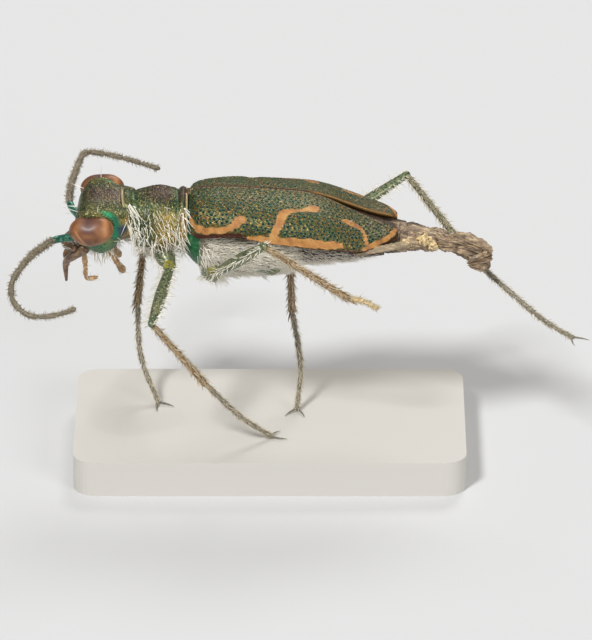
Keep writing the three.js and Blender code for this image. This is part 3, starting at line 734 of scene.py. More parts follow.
hollow = bump_at(across, 0, 0.34) * ease(-0.42, -0.2, x) * (1 - ease(0.2, 0.5, x))
ridges = np.sin(aside * 190 + 14 * x) * ease(0.2, 0.35, aside) * (1 - ease(0.3, 0.5, x))
grains = np.sin(x * 130 + 5 * np.sin(across * 31)) * np.sin(across * 150 + 4 * np.sin(x * 37))
front_knob = np.exp(-np.hypot((x + 0.28) / 0.1, (aside - 0.22) / 0.13) ** 2)
from_eye = np.hypot(x / 0.53, height / 0.37) * (aside > 0.3)
groove = bump_at(from_eye, 1.02, 0.05) * (aside > 0.35)
cheek = np.sin(x * 150 + height * 60) * (below > 0.4)
lift = on_top * (0.02 * brow + 0.03 * rounder - 0.035 * lower_front - 0.02 * hollow + 0.0035 * ridges
                 + 0.005 * grains + 0.012 * front_knob) - 0.012 * groove + 0.003 * cheek
skin = grid + outward(grid) * lift[..., None]
in_front = np.minimum(skin[..., 0] - FACE_FROM, 0)
skin[..., 0] -= (1 - FACE_DEPTH) * in_front
HEAD_GRID = in_head(skin)

middle = bump_at(across, 0.05, 0.3) * ease(-0.3, -0.05, x) * on_top
behind_eye = bump_at(from_eye, 1.04, 0.13) * ease(0.16, 0.4, x) * ease(0.46, 0.56, aside)
under_eye = (1 - ease(1.4, 1.6, from_eye)) * ease(-0.02, 0.12, below) * ease(0.35, 0.48, x)
cheek_shade = ease(0.3, 0.45, below) * ease(-0.3, 0.0, x)
# The last term of gold is a painted highlight: a gold patch low on the cheek, below the rear of the eye.
gold_and_highlight = (0.9 * ease(0.5, 0.6, x) * (1 - on_top) + 0.2 * bump_at(aside, 0.57, 0.1) * on_top
        + 0.7 * bump_at(x, 0.32, 0.12) * bump_at(height, -0.5, 0.12))
# The teal turns to painted shade of dark blue where the head's shell faces down at its rear.
shell("head_capsule", HEAD_GRID, BODY, "head", "head_shell", {
    **BODY_MARKS, "green": np.clip(1 - 1.1 * middle, 0, 1),
    "teal": np.clip(1.2 * behind_eye + under_eye + 0.45 * cheek_shade, 0, 1),
    "deep": ease(0.0, 0.16, below) * ease(0.46, 0.6, x), "gold_and_highlight": np.clip(gold_and_highlight, 0, 1)})

# %% [markdown]
# Each eye is an ellipsoid with a dent in its upper edge, which makes it bean-shaped, as in the photograph.
# %% Eyes
EYE_MIDDLE = {-1: (0, -0.741, 0), 1: (0.05, 0.735, -0.025)}
EYE_RADII = (0.49, 0.33, 0.34)
lat = np.linspace(0.02, np.pi - 0.02, 91)[:, None]
lon = np.linspace(0, 2 * np.pi, 180, endpoint=False)
ball = np.stack(np.broadcast_arrays(np.cos(lat), np.sin(lat) * np.cos(lon), np.sin(lat) * np.sin(lon)), -1)
x, y, z = ball[..., 0], ball[..., 1], ball[..., 2]
dent = bump_at(x, 0, 0.42) * ease(0.35, 1.0, z)
swell = 0.05 * bump_at(x, -0.3, 0.5) * ease(0.2, 0.9, -z)
dome = ball * EYE_RADII * (1 - 0.14 * dent + swell)[..., None]
# Painted shade: the top of each eye, under the head's brow, is darkened.
shade = ease(0.1, 0.6, z) * bump_at(x, -0.05, 0.38)
rear = bump_at(x, 0.72, 0.12) * ease(-0.3, 0.2, z)
for side, name in ((-1, "eye_left"), (1, "eye_right")):
    # A painted highlight: a pale streak across the front of the eye's outer face. The rear is lighter in its
    # own colour.
    highlight_streak = bump_at(x + 0.45 * z, -0.42, 0.07) * ease(0.5, 0.8, side * y) * ease(-0.5, -0.1, z)
    shell(name + "_dome", in_head(dome + EYE_MIDDLE[side]), EYE_HORN, name, "eye",
          {"brow": 0.9 * shade, "light": np.clip(0.7 * highlight_streak + 0.6 * rear, 0, 1)})

# %% [markdown]
# The mouth parts hang below the face: an upper lip, a pair of curved jaws, and two pairs of jointed palps.
# The right outer palp is stretched out to the side, and is seen only from above. All are tubes.
# %% Mouth parts
MOUTH = {
    "labrum": (JAW, (0.09, 0.13, 0.09), [(-4.85, -0.01, -1.47), (-5.0, 0.27, -1.45), (-4.85, 0.53, -1.32)]),
    "mandible_left": (JAW, (0.13, 0.085, 0.03), [
        (-4.62, 0, -1.5), (-4.88, 0.15, -1.75), (-5.02, 0.3, -1.95), (-5.03, 0.44, -2.45)]),
    "mandible_right": (JAW, (0.13, 0.085, 0.03), [
        (-4.6, 0.58, -1.38), (-4.84, 0.6, -1.65), (-5.04, 0.52, -1.86), (-4.98, 0.5, -2.1)]),
    "palp_maxillary_left": (PALP, (0.06, 0.055, 0.045), [
        (-4.62, 0.06, -1.6), (-4.6, 0.12, -1.9), (-4.56, 0.26, -2.33), (-4.36, 0.25, -2.3)]),
    "palp_maxillary_right": (PALP, (0.06, 0.055, 0.045), [
        (-4.6, 0.62, -1.45), (-4.42, 1.0, -1.6), (-4.28, 1.3, -1.68), (-4.18, 1.6, -1.75)]),
    "palp_labial_left": (PALP, (0.055, 0.06, 0.085), [
        (-4.1, 0.04, -1.5), (-3.93, 0.12, -1.83), (-3.78, 0.19, -2.1)]),
    "palp_labial_right": (PALP, (0.055, 0.06, 0.085), [
        (-4.15, 0.5, -1.4), (-4.0, 0.6, -1.7), (-3.88, 0.68, -1.95)]),
}


def three_sizes(near, middle, far):
    """A thickness that runs smoothly through three values."""
    return smooth([[0, near], [0.5, middle], [1, far]])


def jointed(size, count, neck=0.3, flare=0.25):
    """A thickness that pinches at each joint and widens towards the far end of each ring."""
    def radius(t):
        s = np.mod(t * count, 1)
        pinch = 1 - neck * bump_at(np.minimum(s, 1 - s), 0, 0.07) * ((t > 0.02) & (t < 0.98))
        return size(t) * pinch * (1 - flare / 2 + flare * s)
    return radius


MOUTH_GRIDS = {}
for name, (material, sizes, bends) in MOUTH.items():
    size = three_sizes(*sizes)
    MOUTH_GRIDS[name] = tube(bends, jointed(size, 3, 0.3, 0.3) if "palp" in name else size, 48, 24)
    shell(name + "_horn", MOUTH_GRIDS[name], material, name, "mouth_part")

# %% [markdown]
# The fore body is a barrel pinched behind its front rim and before its hind rim, with a fine line down the
# middle and wavy wrinkles across. Its two rims are smooth, and the hind one is pale.
# %% Fore body
FORE_BODY = [
    (-3.64, 0.02, -0.75, 0.6, 0.62, 0, 0.25), (-3.52, 0.02, -0.75, 0.62, 0.64, 0, 0.22),
    (-3.4, 0.01, -0.76, 0.6, 0.61, 0, 0.18), (-2.98, 0, -0.76, 0.72, 0.71), (-2.6, 0, -0.75, 0.65, 0.64),
    (-2.44, 0, -0.75, 0.66, 0.66), (-2.34, 0, -0.75, 0.63, 0.62)]
grid, x, angle = barrel(FORE_BODY, 260, 360, 0.03)
top = from_above(angle)
disc = ease(-3.4, -3.3, x) * (1 - ease(-2.62, -2.56, x))
grooves = 0.7 * bump_at(x, -3.4, 0.05) + bump_at(x, -2.555, 0.04)
middle = bump_at(top, 0, 0.035) * disc
wrinkle = np.sin(x * 95 + 4 * np.sin(angle * 17) + 2.5 * np.sin(angle * 39 + 11 * x))
grains = np.sin(x * 160 + 6 * np.sin(angle * 29)) * np.sin(angle * 118 + 5 * np.sin(x * 21))
rims = bump_at(x, -3.622, 0.018) + bump_at(x, -2.44, 0.05)
lift = (0.0035 * wrinkle + 0.005 * grains) * (0.35 + 0.65 * disc) - 0.03 * grooves - 0.01 * middle
lift += 0.014 * rims + 0.01 * ease(-2.385, -2.36, x) + 0.03 * bump_at(top, 1.9, 0.2) * disc
FORE_GRID = grid + outward(grid) * lift[..., None]
green = 0.9 * (1 - ease(-3.35, -3.0, x)) + ease(0.3, 0.9, top) + 0.6 * bump_at(x, -2.62, 0.1)
shell("pronotum_barrel", FORE_GRID, BODY, "pronotum", "fore_body", {
    **BODY_MARKS, "green": np.clip(green, 0, 1),
    "teal": 0.18 * bump_at(x, -2.575, 0.05) + 0.12 * bump_at(x, -3.42, 0.07),
    "pale": 0.8 * ease(-2.385, -2.365, x) + 0.8 * bump_at(x, -3.63, 0.03),
    "gold_and_highlight": ease(0.75, 1.3, top) * ease(-3.2, -2.8, x)})

# %% [markdown]
# Where the wing cases meet the fore body lies a small shield, a three-cornered plate that points to the tail.
# %% Shield
plate = tube([(-2.42, 0, -0.19), (-2.28, 0, -0.13), (-2.1, 0, -0.07)],
             smooth([[0, 0.2], [0.4, 0.16], [1, 0.02]]), 40, 60, smooth([[0, 0.3], [1, 0.5]]))
plate = plate + outward(plate) * 0.004 * crumple(plate, 0.05, 5)[..., None]
shell("shield", plate, BODY, None, "fore_body", {**BODY_MARKS, "gold_and_highlight": 0.2})

# %% [markdown]
# The chest hangs below the wing cases. Its side is made of plates with seams between them, drawn as narrow
# grooves. Where it or the belly would stand through the wing cases, it is lowered to leave some room.
# %% Chest
CHEST_STATIONS = [(-2.42, 0, -0.88, 0.55, 0.58), (-2.2, 0, -0.98, 0.76, 0.74), (-1.9, 0, -1.04, 0.92, 0.86),
                  (-1.5, 0, -1.08, 1.0, 0.9), (-0.9, 0, -1.08, 1.08, 0.88), (-0.3, 0, -1.06, 1.1, 0.83),
                  (0.05, 0, -1.04, 1.07, 0.78)]
ROOM = 0.12


def under_cases(grid):
    """Lowers the points of a body that would stand through the wing cases."""
    x, y, z = (grid[..., k] for k in range(3))
    at = np.clip(x, CASE_FROM, CASE_TO)
    roof = {}
    for side in (-1, 1):
        seam_y, margin_y = SEAM_Y[side](at), side * CASE_HALF(at)
        share = np.clip((y - seam_y) / (margin_y - seam_y), 0, 1)
        height = (1 - share ** CASE_POWER) ** (1 / CASE_POWER)
        roof[side] = MARGIN_Z(at) + (SEAM_Z(at) - MARGIN_Z(at)) * height
    low = np.minimum(z, np.where(y < 0, roof[-1], roof[1]) - ROOM)
    return np.stack([x, y, np.where(x < CASE_TO + 0.05, low, z)], -1)


grid, x, angle = barrel(CHEST_STATIONS, 150, 220)
from_top = from_above(angle)
slant = 0.25 * (from_top - 2.0)
seams = (bump_at(x, -1.92 + slant, 0.022) + bump_at(x, -0.62 - slant, 0.022)
         + bump_at(from_top, 2.15, 0.03) * (x > -1.9))
lift = -0.03 * np.clip(seams, 0, 1) * ease(1.1, 1.4, from_top) + 0.004 * np.sin(x * 90) * np.sin(angle * 60)
CHEST_GRID = under_cases(grid + outward(grid) * lift[..., None])
x = CHEST_GRID[..., 0]
low_side = ease(1.9, 2.3, from_top) * (1 - ease(2.5, 2.8, from_top))
BARE = np.clip((1 - ease(-2.12, -2.02, x)) + 0.8 * low_side * bump_at(x, -0.75, 0.2), 0, 1)
shell("thorax_chest", CHEST_GRID, CHEST, "thorax", "hind_body", {"bare": BARE})

# %% [markdown]
# The belly and its hooked tip are one skin from the chest to the end. Its front is a barrel and its tail a
# tube, whose rings are turned to match and smoothed into each other where they meet.
# %% Outline of the belly
BELLY_STATIONS = [(-0.05, 0, -1.0, 1.05, 0.66), (0.5, 0, -1.0, 1.14, 0.62),
                  (1.3, 0.02, -1.08, 1.12, 0.52, -0.12), (1.87, 0.05, -1.15, 1.06, 0.4, -0.2),
                  (2.31, 0.034, -1.2, 0.98, 0.28, -0.24), (2.77, 0, -1.22, 0.75, 0.2, -0.24),
                  (3.14, -0.18, -1.2, 0.55, 0.16, -0.2)]
TIP_BENDS = [(3.0, -0.05, -1.21), (3.4, -0.4, -1.18), (3.85, -0.72, -1.18), (4.1, -0.87, -1.22),
             (4.17, -1.0, -1.25), (4.05, -1.2, -1.24), (3.85, -1.34, -1.24)]
TIP_SIZE = smooth([[0, 0.42], [0.25, 0.32], [0.52, 0.2], [0.72, 0.15], [0.9, 0.12], [1, 0.09]])
TIP_FLAT = smooth([[0, 0.42], [0.25, 0.4], [0.5, 1.1], [0.7, 1.2], [1, 1]])
SIDES = 260  # points in each of its rings
FRONT_CUT, TAIL_CUT = 8, 20  # rings left out where the two meet
BLEND_ROUNDS, BLEND_RINGS = 6, range(205, 235)


def matched(ring, model):
    """The turn, and the way round, that bring a ring closest to a model ring."""
    ways = [np.roll(way, -k, axis=0) for way in (ring, ring[::-1]) for k in range(0, SIDES, 4)]
    gaps = [np.linalg.norm(way - way.mean(0) - (model - model.mean(0)), axis=1).sum() for way in ways]
    best = int(np.argmin(gaps))
    return best // (SIDES // 4), (best % (SIDES // 4)) * 4


front, _, _ = barrel(BELLY_STATIONS, 220, SIDES)
back = tube(TIP_BENDS, TIP_SIZE, 130, SIDES, TIP_FLAT)[DOME_RINGS:]
flip, start = matched(back[TAIL_CUT], front[-1])
back = np.roll(back[:, ::-1] if flip else back, -start, axis=1)
joined = np.concatenate([front[:-FRONT_CUT], back[TAIL_CUT:]])
a, b = BLEND_RINGS.start, BLEND_RINGS.stop
for _ in range(BLEND_ROUNDS):
    joined[a:b] = (joined[a - 1:b - 1] + joined[a:b] + joined[a + 1:b + 1]) / 3
middles = joined.mean(axis=1)
print("the belly and its tip have", len(joined), "rings")

# %% [markdown]
# The front of the belly keeps the edges of its rings. Behind, it has shrunk: long folds, lumps and crumples
# grow towards the tail. Its right upper edge and its front are tough and dark, and the fibres between pale.
# The left edge hangs out of the case as a fold of its own.
# %% Skin of the belly
RING_ENDS = smooth([[0, 0], [0.7, 1], [1.4, 2], [2.0, 3], [2.5, 4], [3.0, 5], [3.6, 6], [4.4, 7], [5.8, 8]])
far = np.r_[0, np.cumsum(np.linalg.norm(np.diff(middles, axis=0), axis=1))][:, None]
angle = np.linspace(0, 2 * np.pi, SIDES, endpoint=False)
step = np.mod(RING_ENDS(far), 1)
shrunk = ease(1.9, 3.0, far)
folds = (np.sin(angle * 7 + 3 * np.sin(far * 2.1)) + 0.8 * np.sin(angle * 16 + 5 * np.sin(far * 1.7 + 1))
         + 0.5 * np.sin(angle * 37 + 7 * np.sin(far * 2.9 + 2)))
lumps = np.sin(far * 7 + 2 * np.sin(angle * 2)) * np.sin(angle * 3 + far * 2.3)
crumples = (0.035 * crumple(joined, 0.8, 1) + 0.018 * crumple(joined, 0.4, 2)
            - 0.014 * np.abs(crumple(joined, 0.26, 3)) + 0.004 * crumple(joined, 0.08, 4))
lift = (0.03 * (step - 0.5) * (1 - 0.7 * shrunk) - 0.025 * bump_at(step, 0.02, 0.05) * (1 - 0.6 * shrunk)
        + (0.004 + 0.02 * shrunk) * folds + shrunk * (0.03 * lumps + crumples)
        + 0.004 * np.sin(far * 70 + 9 * np.sin(angle * 5)))
BELLY_GRID = under_cases(joined + outward(joined) * lift[..., None])
aside, height = (BELLY_GRID[..., k] - middles[:, None, k] for k in (1, 2))
right_edge = ease(0.15, 0.5, aside) * (1 - ease(4.6, 5.0, far)) * ease(-0.04, 0.06, height + 0.24 * aside)
dark = right_edge * ease(1.6, 2.3, far) + (1 - ease(2.1, 2.35, far))
fibre = np.clip(0.5 + 0.5 * np.sin(angle * 23 + 6 * np.sin(far * 2.3)) * np.sin(far * 3.1 + angle * 2), 0, 1)
shell("abdomen_skin", BELLY_GRID, BELLY, ["abdomen", "abdomen_tip"], "belly",
      {"dark": np.clip(dark, 0, 1), "pale": 0.35 * shrunk * fibre})

fold = tube([(1.35, -1.18, -1.08), (1.65, -1.22, -1.0), (1.95, -1.2, -0.95), (2.25, -1.02, -0.96),
             (2.5, -0.8, -1.0), (2.85, -0.58, -1.1)],
            smooth([[0, 0.05], [0.4, 0.11], [0.8, 0.09], [1, 0.04]]), 90, 40, smooth([[0, 0.6], [1, 0.6]]))
far = np.linspace(0, 1, len(fold))[:, None]
angle = np.linspace(0, 2 * np.pi, fold.shape[1], endpoint=False)
lift = 0.008 * np.sin(angle * 5 + 9 * far) + 0.006 * np.sin(far * 90 + 3 * np.sin(angle))
fold = fold + outward(fold) * lift[..., None]
shell("abdomen_side_fold", fold, BELLY, None, "belly", {"dark": 0.2, "pale": 0.45})

# %% [markdown]
# A few pale crumbs of dried stuff stick to the tail, as in the photograph: small lumpy balls, in one mesh.
# %% Crumbs
CRUMBS = [(2.4, -0.84, -0.97, 0.075), (2.5, -0.82, -1.02, 0.055), (2.78, -0.72, -0.95, 0.1),
          (2.88, -0.66, -0.99, 0.065), (2.97, -0.68, -1.1, 0.08), (3.05, -0.66, -1.16, 0.05)]
balls = []
for k, (x, y, z, size) in enumerate(CRUMBS):
    ball = tube([(x - 0.3 * size, y, z), (x + 0.3 * size, y, z)], three_sizes(size, size, size), 10, 28)
    balls.append(ball + outward(ball) * 0.4 * size * crumple(ball, 1.1 * size, 30 + k)[..., None])
dress("crumbs", joined_shells("crumbs", balls), DUST, None, "belly")

# %% [markdown]
# Each leg is built length by length, as it is jointed: hip, thigh, shin and foot. A foot has five short rings
# and a pair of claws, and a shin ends in two spurs. The left middle foot is broken off short and the left
# hind leg is gone, and both are left so.
# %% Legs
STANDING = FLOOR + 0.06  # height of the tip of a foot that stands on the base
LEGS = {
    "fore_left": dict(hip=(-2.92, -0.3, -1.38), ring=(-2.72, -0.72, -1.6), knee=(-3.1, -2.39, -2.2),
                      ankle=(-1.96, -1.76, -3.93), foot=[(-1.2, -1.5, -4.85)], tip=(-0.53, -1.26, STANDING)),
    "fore_right": dict(hip=(-2.95, 0.22, -1.4), ring=(-2.77, 0.48, -1.86), knee=(-3.38, 2.38, -2.59),
                       ankle=(-3.5, 1.62, -3.55), foot=[(-3.42, 1.05, -4.6)], tip=(-3.03, 0.44, STANDING)),
    "mid_left": dict(hip=(-1.86, -0.5, -1.82), ring=(-1.74, -1.02, -1.62), knee=(-0.67, -2.2, -0.45),
                     ankle=(1.13, -1.75, -1.88), foot=[(1.5, -1.63, -2.02)], tip=(1.78, -1.53, -2.22)),
    "mid_right": dict(hip=(-1.86, 0.5, -1.82), ring=(-1.72, 0.98, -1.62), knee=(-0.15, 2.05, -1.7),
                      ankle=(-0.07, 1.2, -3.54), foot=[(0.12, 0.6, -4.6)], tip=(0.04, 0.1, STANDING)),
    "hind_right": dict(hip=(-0.45, 0.3, -1.72), ring=(0.12, 0.66, -1.7), knee=(2.46, 1.81, -0.53),
                       ankle=(3.95, -0.37, -1.65), tip=(6.0, -2.55, -2.45),
                       foot=[(4.55, -0.95, -1.98), (5.12, -1.5, -2.28), (5.52, -1.98, -2.4)]),
}
COXA, FEMUR = three_sizes(0.2, 0.21, 0.13), three_sizes(0.09, 0.135, 0.085)
TIBIA, TARSUS = three_sizes(0.062, 0.07, 0.08), three_sizes(0.052, 0.056, 0.045)
KNOB = three_sizes(0.115, 0.14, 0.105)
SHINS = {"fore_left": SHIN, "mid_left": SHIN, "hind_right": OLIVE_SHIN}
CLAW, SPUR = (0.3, 0.024, 0.9), (0.26, 0.024, 0.45)  # length, thickness, spread


def prongs(end, along, length, thick, spread):
    """A pair of tapered claws or spurs at the end of a limb."""
    made = []
    for side in (-1, 1):
        aside = side * length * spread * unit(np.cross((0, 0, 1.0), along))
        bends = [end - along * 2 * thick, end + along * length * 0.6 + aside * 0.6,
                 end + along * length + aside * 0.8]
        made.append(tube(bends, three_sizes(thick, thick * 0.8, thick * 0.2), 12, 10))
    return made


def limb(name, grids, material, slot):
    """One length of a limb and its claws, as a single mesh that stands for the node of the same name."""
    dress(name + "_shell", joined_shells(name, grids), material, name, slot)


LEG_GRIDS = {}
for leg, at in LEGS.items():
    hip, ring, knee, ankle, tip = (
        np.array(at[key], float) for key in ("hip", "ring", "knee", "ankle", "tip"))
    foot_bends = np.array([ankle, *at["foot"], tip])
    level = 0.08 if at["tip"][2] == STANDING else 1  # claws lie almost level on the base
    foot_way = unit((tip - foot_bends[-2]) * (1, 1, level))
    broken = leg == "mid_left"
    foot = tube(foot_bends, jointed(TARSUS, 2 if broken else 5), 110, 20)
    if broken:
        foot = foot + outward(foot) * 0.014 * crumple(foot, 0.07, 6)[..., None]
    lengths = {
        "coxa": (tube([hip, (hip + ring) / 2, ring], COXA, 24, 20), THIGH, "thigh", []),
        "femur": (tube([ring, knee], FEMUR, 50, 20), THIGH, "thigh", []),
        "tibia": (tube([knee, ankle], TIBIA, 50, 20), SHINS.get(leg, DARK_SHIN), "shin",
                  prongs(ankle, unit(ankle - knee), *SPUR)),
        "tarsus": (foot, DUST if broken else FOOT, "foot", [] if broken else prongs(tip, foot_way, *CLAW)),
    }
    for part, (grid, material, slot, ends) in lengths.items():
        LEG_GRIDS[leg, part] = grid
        limb(f"leg_{leg}_{part}", [grid, *ends], material, slot)
    knob = tube([ring - (0.04, 0, -0.05), ring + unit(knee - ring) * 0.09], KNOB, 16, 24)
    shell(f"leg_{leg}_trochanter", knob, TROCHANTER, None, "thigh")
stump = tube([(-0.62, -0.4, -1.7), (-0.42, -0.86, -1.55)], COXA, 24, 20)
limb("leg_hind_left_coxa", [stump], THIGH, "thigh")

# %% [markdown]
# A feeler has eleven rings. The first, the scape, is stout and shines green, the next few are long and bare,
# and the rest are dusty with short hair. Each ring is a little wider at its far end.
# %% Feelers
FEELERS = {
    "right": [(-4.72, 0.6, -1.0), (-4.93, 0.99, -0.9), (-4.95, 1.73, -0.81), (-4.9, 2.31, -0.81),
              (-4.78, 3.27, -0.82), (-4.67, 3.62, -0.79), (-3.98, 3.88, -1.0), (-2.98, 3.8, -1.28)],
    "left": [(-4.84, -0.16, -1.14), (-5.23, -0.28, -1.16), (-5.49, -0.98, -1.03), (-5.76, -1.71, -0.95),
             (-6.1, -2.63, -1.15), (-6.05, -3.0, -1.39), (-5.74, -3.34, -1.54), (-5.41, -3.31, -1.6),
             (-4.9, -3.14, -1.57), (-4.69, -2.96, -1.54)],
}
FEELER_SIZE = smooth([[0, 0.09], [0.1, 0.08], [0.5, 0.066], [1, 0.05]])
FEELER_CUTS = {"scape": (0, 20, 1), "shaft": (20, 112, 5), "tip": (112, 200, 5)}  # from, to, rings
FEELER_POINTS = 200  # points along a whole feeler, which the cuts count


def feeler_size(start, end):
    """The feeler's thickness between two of its points, for shares of the way between them."""
    return lambda t: FEELER_SIZE((start + (end - start) * t) / FEELER_POINTS)


FEELER_GRIDS = {}
for side, bends in FEELERS.items():
    path = route(bends, FEELER_POINTS + 1)
    for part, (start, end, rings) in FEELER_CUTS.items():
        size, material = feeler_size(start, end), SCAPE
        if part != "scape":
            size, material = jointed(size, rings, 0.28, 0.32), FEELER
        grid = tube(path[start:end + 1:5], size, 24 * rings + 10, 16)
        FEELER_GRIDS[side, part] = grid
        limb(f"antenna_{side}_{part}", [grid], material, "feeler")

# %% [markdown]
# Hair is what gives a tiger beetle's underside its white sheen, and legs and feelers their rough outline.
# Each hair is a curved, tapered tube of three sides. One Geometry Nodes tree sets a hair on every point of a
# plain mesh, turned and scaled by the point's own values, and makes the copies real. It also gives each hair
# a tiny patch in the map OFBake, at the place of its root on the skin's own unwrap.
# %% The tree that sets hairs
HAIR_STEPS, HAIR_SIDES, HAIR_TIP = 4, 3, 0.12
PATCH = 0.003  # width of a hair's patch on the unwrap


def hair_tree(material):
    """The tree for hairs of one material. Its input Curl is how far a hair of length 1 bends over."""
    tree = bpy.data.node_groups.new("hairs_" + material.name, "GeometryNodeTree")
    for kind, name, way in (("Geometry", "Roots", "INPUT"), ("Float", "Curl", "INPUT"),
                            ("Geometry", "Hairs", "OUTPUT")):
        tree.interface.new_socket(name, in_out=way, socket_type=f"NodeSocket{kind}")
    given = add(tree, "NodeGroupInput").outputs
    middle = output(tree, "Vector", "ShaderNodeCombineXYZ", {"X": given["Curl"], "Z": 0.55})
    far = output(tree, "Value", "ShaderNodeMath", {0: given["Curl"], 1: 2.2}, operation="MULTIPLY")
    tip = output(tree, "Vector", "ShaderNodeCombineXYZ", {"X": far, "Z": 1.0})
    spine = output(tree, "Curve", "GeometryNodeCurveQuadraticBezier", {
        "Resolution": HAIR_STEPS, "Start": (0, 0, 0), "Middle": middle, "End": tip})
    taper = remap(tree, output(tree, "Factor", "GeometryNodeSplineParameter"), 0, 1, 1, HAIR_TIP)
    section = output(tree, "Curve", "GeometryNodeCurvePrimitiveCircle", {
        "Resolution": HAIR_SIDES, "Radius": 1.0})
    hair = output(tree, "Mesh", "GeometryNodeCurveToMesh", {
        "Curve": spine, "Profile Curve": section, "Scale": taper, "Fill Caps": True})
    local = output(tree, "Position", "GeometryNodeInputPosition")
    local = add(tree, "ShaderNodeSeparateXYZ", {"Vector": local})
    patch = output(tree, "Vector", "ShaderNodeCombineXYZ", {"X": local.outputs["Y"], "Y": local.outputs["Z"]})
    patch = output(tree, "Vector", "ShaderNodeVectorMath", {0: patch, 3: PATCH}, operation="SCALE")
    hair = output(tree, "Geometry", "GeometryNodeStoreNamedAttribute", {
        "Geometry": hair, "Name": "patch", "Value": patch}, data_type="FLOAT_VECTOR")

    def own(name):
        return output(tree, 0, "GeometryNodeInputNamedAttribute", {"Name": name}, data_type="FLOAT_VECTOR")

    way = output(tree, "Rotation", "FunctionNodeAxesToRotation", {0: own("aim"), 1: own("lean")},
                 primary_axis="Z", secondary_axis="X")
    many = output(tree, "Instances", "GeometryNodeInstanceOnPoints", {
        "Points": given["Roots"], "Instance": hair, "Rotation": way, "Scale": own("size")})
    real = output(tree, "Geometry", "GeometryNodeRealizeInstances", {"Geometry": many})
    spread = output(tree, "Vector", "ShaderNodeVectorMath", {0: own("root_uv"), 1: own("patch")},
                    operation="ADD")
    mapped = output(tree, "Geometry", "GeometryNodeStoreNamedAttribute", {
        "Geometry": real, "Name": "OFBake", "Value": spread}, data_type="FLOAT2", domain="CORNER")
    done = output(tree, "Geometry", "GeometryNodeSetMaterial", {"Geometry": mapped, "Material": material})
    add(tree, "NodeGroupOutput", {"Hairs": done})
    return tree


def coat(name, hairs, material, slot, curl=0.12):
    """Hairs from arrays of root, aim, lean, thickness, length and place on the unwrap, as one real mesh."""
    root, aim, lean, thick, length, uv = (np.concatenate(values) for values in zip(*hairs))
    points = bpy.data.meshes.new(name + "_roots")
    points.from_pydata(place(root), [], [])
    own = {"aim": unit(aim), "lean": unit(lean), "size": np.stack([thick, thick, length], -1) * MM,
           "root_uv": np.column_stack([uv, np.zeros(len(uv))])}
    for key, value in own.items():
        points.attributes.new(key, "FLOAT_VECTOR", "POINT").data.foreach_set("vector", value.ravel())
    carrier = bpy.data.objects.new(name + "_roots", points)
    bpy.context.scene.collection.objects.link(carrier)
    modifier = carrier.modifiers.new("hairs", "NODES")
    modifier.node_group = hair_tree(material)
    curl_socket = next(s for s in modifier.node_group.interface.items_tree if s.name == "Curl")
    modifier[curl_socket.identifier] = curl
    ready = carrier.evaluated_get(bpy.context.evaluated_depsgraph_get())
    mesh = bpy.data.meshes.new_from_object(ready)
    bpy.data.objects.remove(carrier)
    for key in ("patch", *own):
        if key in mesh.attributes:
            mesh.attributes.remove(mesh.attributes[key])
    print(name, "maps:", [uv_map.name for uv_map in mesh.uv_layers], "hairs:", len(root))
    dress(name, mesh, None, None, slot)


# %% [markdown]
# Roots are drawn on a grid by a seeded generator. On a barrel or the belly they fall where a weight allows,
# and the hair lies towards the tail. On a limb they stand in rows, leaning towards the tip.
# %% Choosing the roots
SUNK = 0.004  # how deep a root sits in the skin, in millimetres


def on_unwrap(i, j, grid):
    """The place of a grid's points on its own unwrap, a little inside the edges."""
    return np.stack([0.02 + 0.96 * i / grid.shape[0], 0.02 + 0.96 * j / grid.shape[1]], -1)


def sown(grid, count, weight, seed, flat=0.25, length=(0.1, 0.2), thick=0.006, fall=(1, 0, -0.3), mess=0.35):
    """Hairs sown on a grid. weight is the chance of each point, and flat is how far a hair stands off."""
    draw = np.random.default_rng(seed)
    weight = np.broadcast_to(weight, grid.shape[:2]).ravel()
    picked = draw.choice(grid.shape[0] * grid.shape[1], count, p=weight / weight.sum())
    normal = outward(grid).reshape(-1, 3)[picked]
    root = grid.reshape(-1, 3)[picked] - normal * SUNK
    lie = np.asarray(fall, float) + mess * draw.normal(size=(count, 3))
    lie = unit(lie - normal * (lie * normal).sum(1, keepdims=True))
    aim = unit(lie * (1 - flat) + normal * flat)
    uv = on_unwrap(*np.divmod(picked, grid.shape[1]), grid)
    size = draw.uniform(*length, count)
    return root, aim, -normal, np.full(count, thick) * draw.uniform(0.7, 1.2, count), size, uv


def rows_of(grid, angles, step, seed, length=(0.1, 0.16), thick=0.007, stand=0.8, mess=0.15):
    """Hairs in rows along a limb, at each of some shares of the way round it, step millimetres apart."""
    draw = np.random.default_rng(seed)
    middle = grid.mean(axis=1)
    far = np.r_[0, np.cumsum(np.linalg.norm(np.diff(middle, axis=0), axis=1))]
    made = []
    for share in angles:
        at = np.arange(0.05 * far[-1], 0.97 * far[-1], step)
        at = at + draw.uniform(-0.3, 0.3, len(at)) * step
        i = np.clip(np.searchsorted(far, at), 2, len(far) - 3)
        j = (np.round(share * grid.shape[1] + draw.uniform(-1, 1, len(at)))).astype(int) % grid.shape[1]
        away = unit(grid[i, j] - middle[i])
        along = unit(middle[i + 2] - middle[i - 2])
        aim = unit(away * stand + along * (1 - stand) + mess * draw.normal(size=away.shape))
        size = draw.uniform(*length, len(at))
        made.append((grid[i, j] - away * 1.5 * SUNK, aim, along, np.full(len(at), thick), size,
                     on_unwrap(i, j, grid)))
    return made


def even_shares(count):
    return np.arange(count) / count


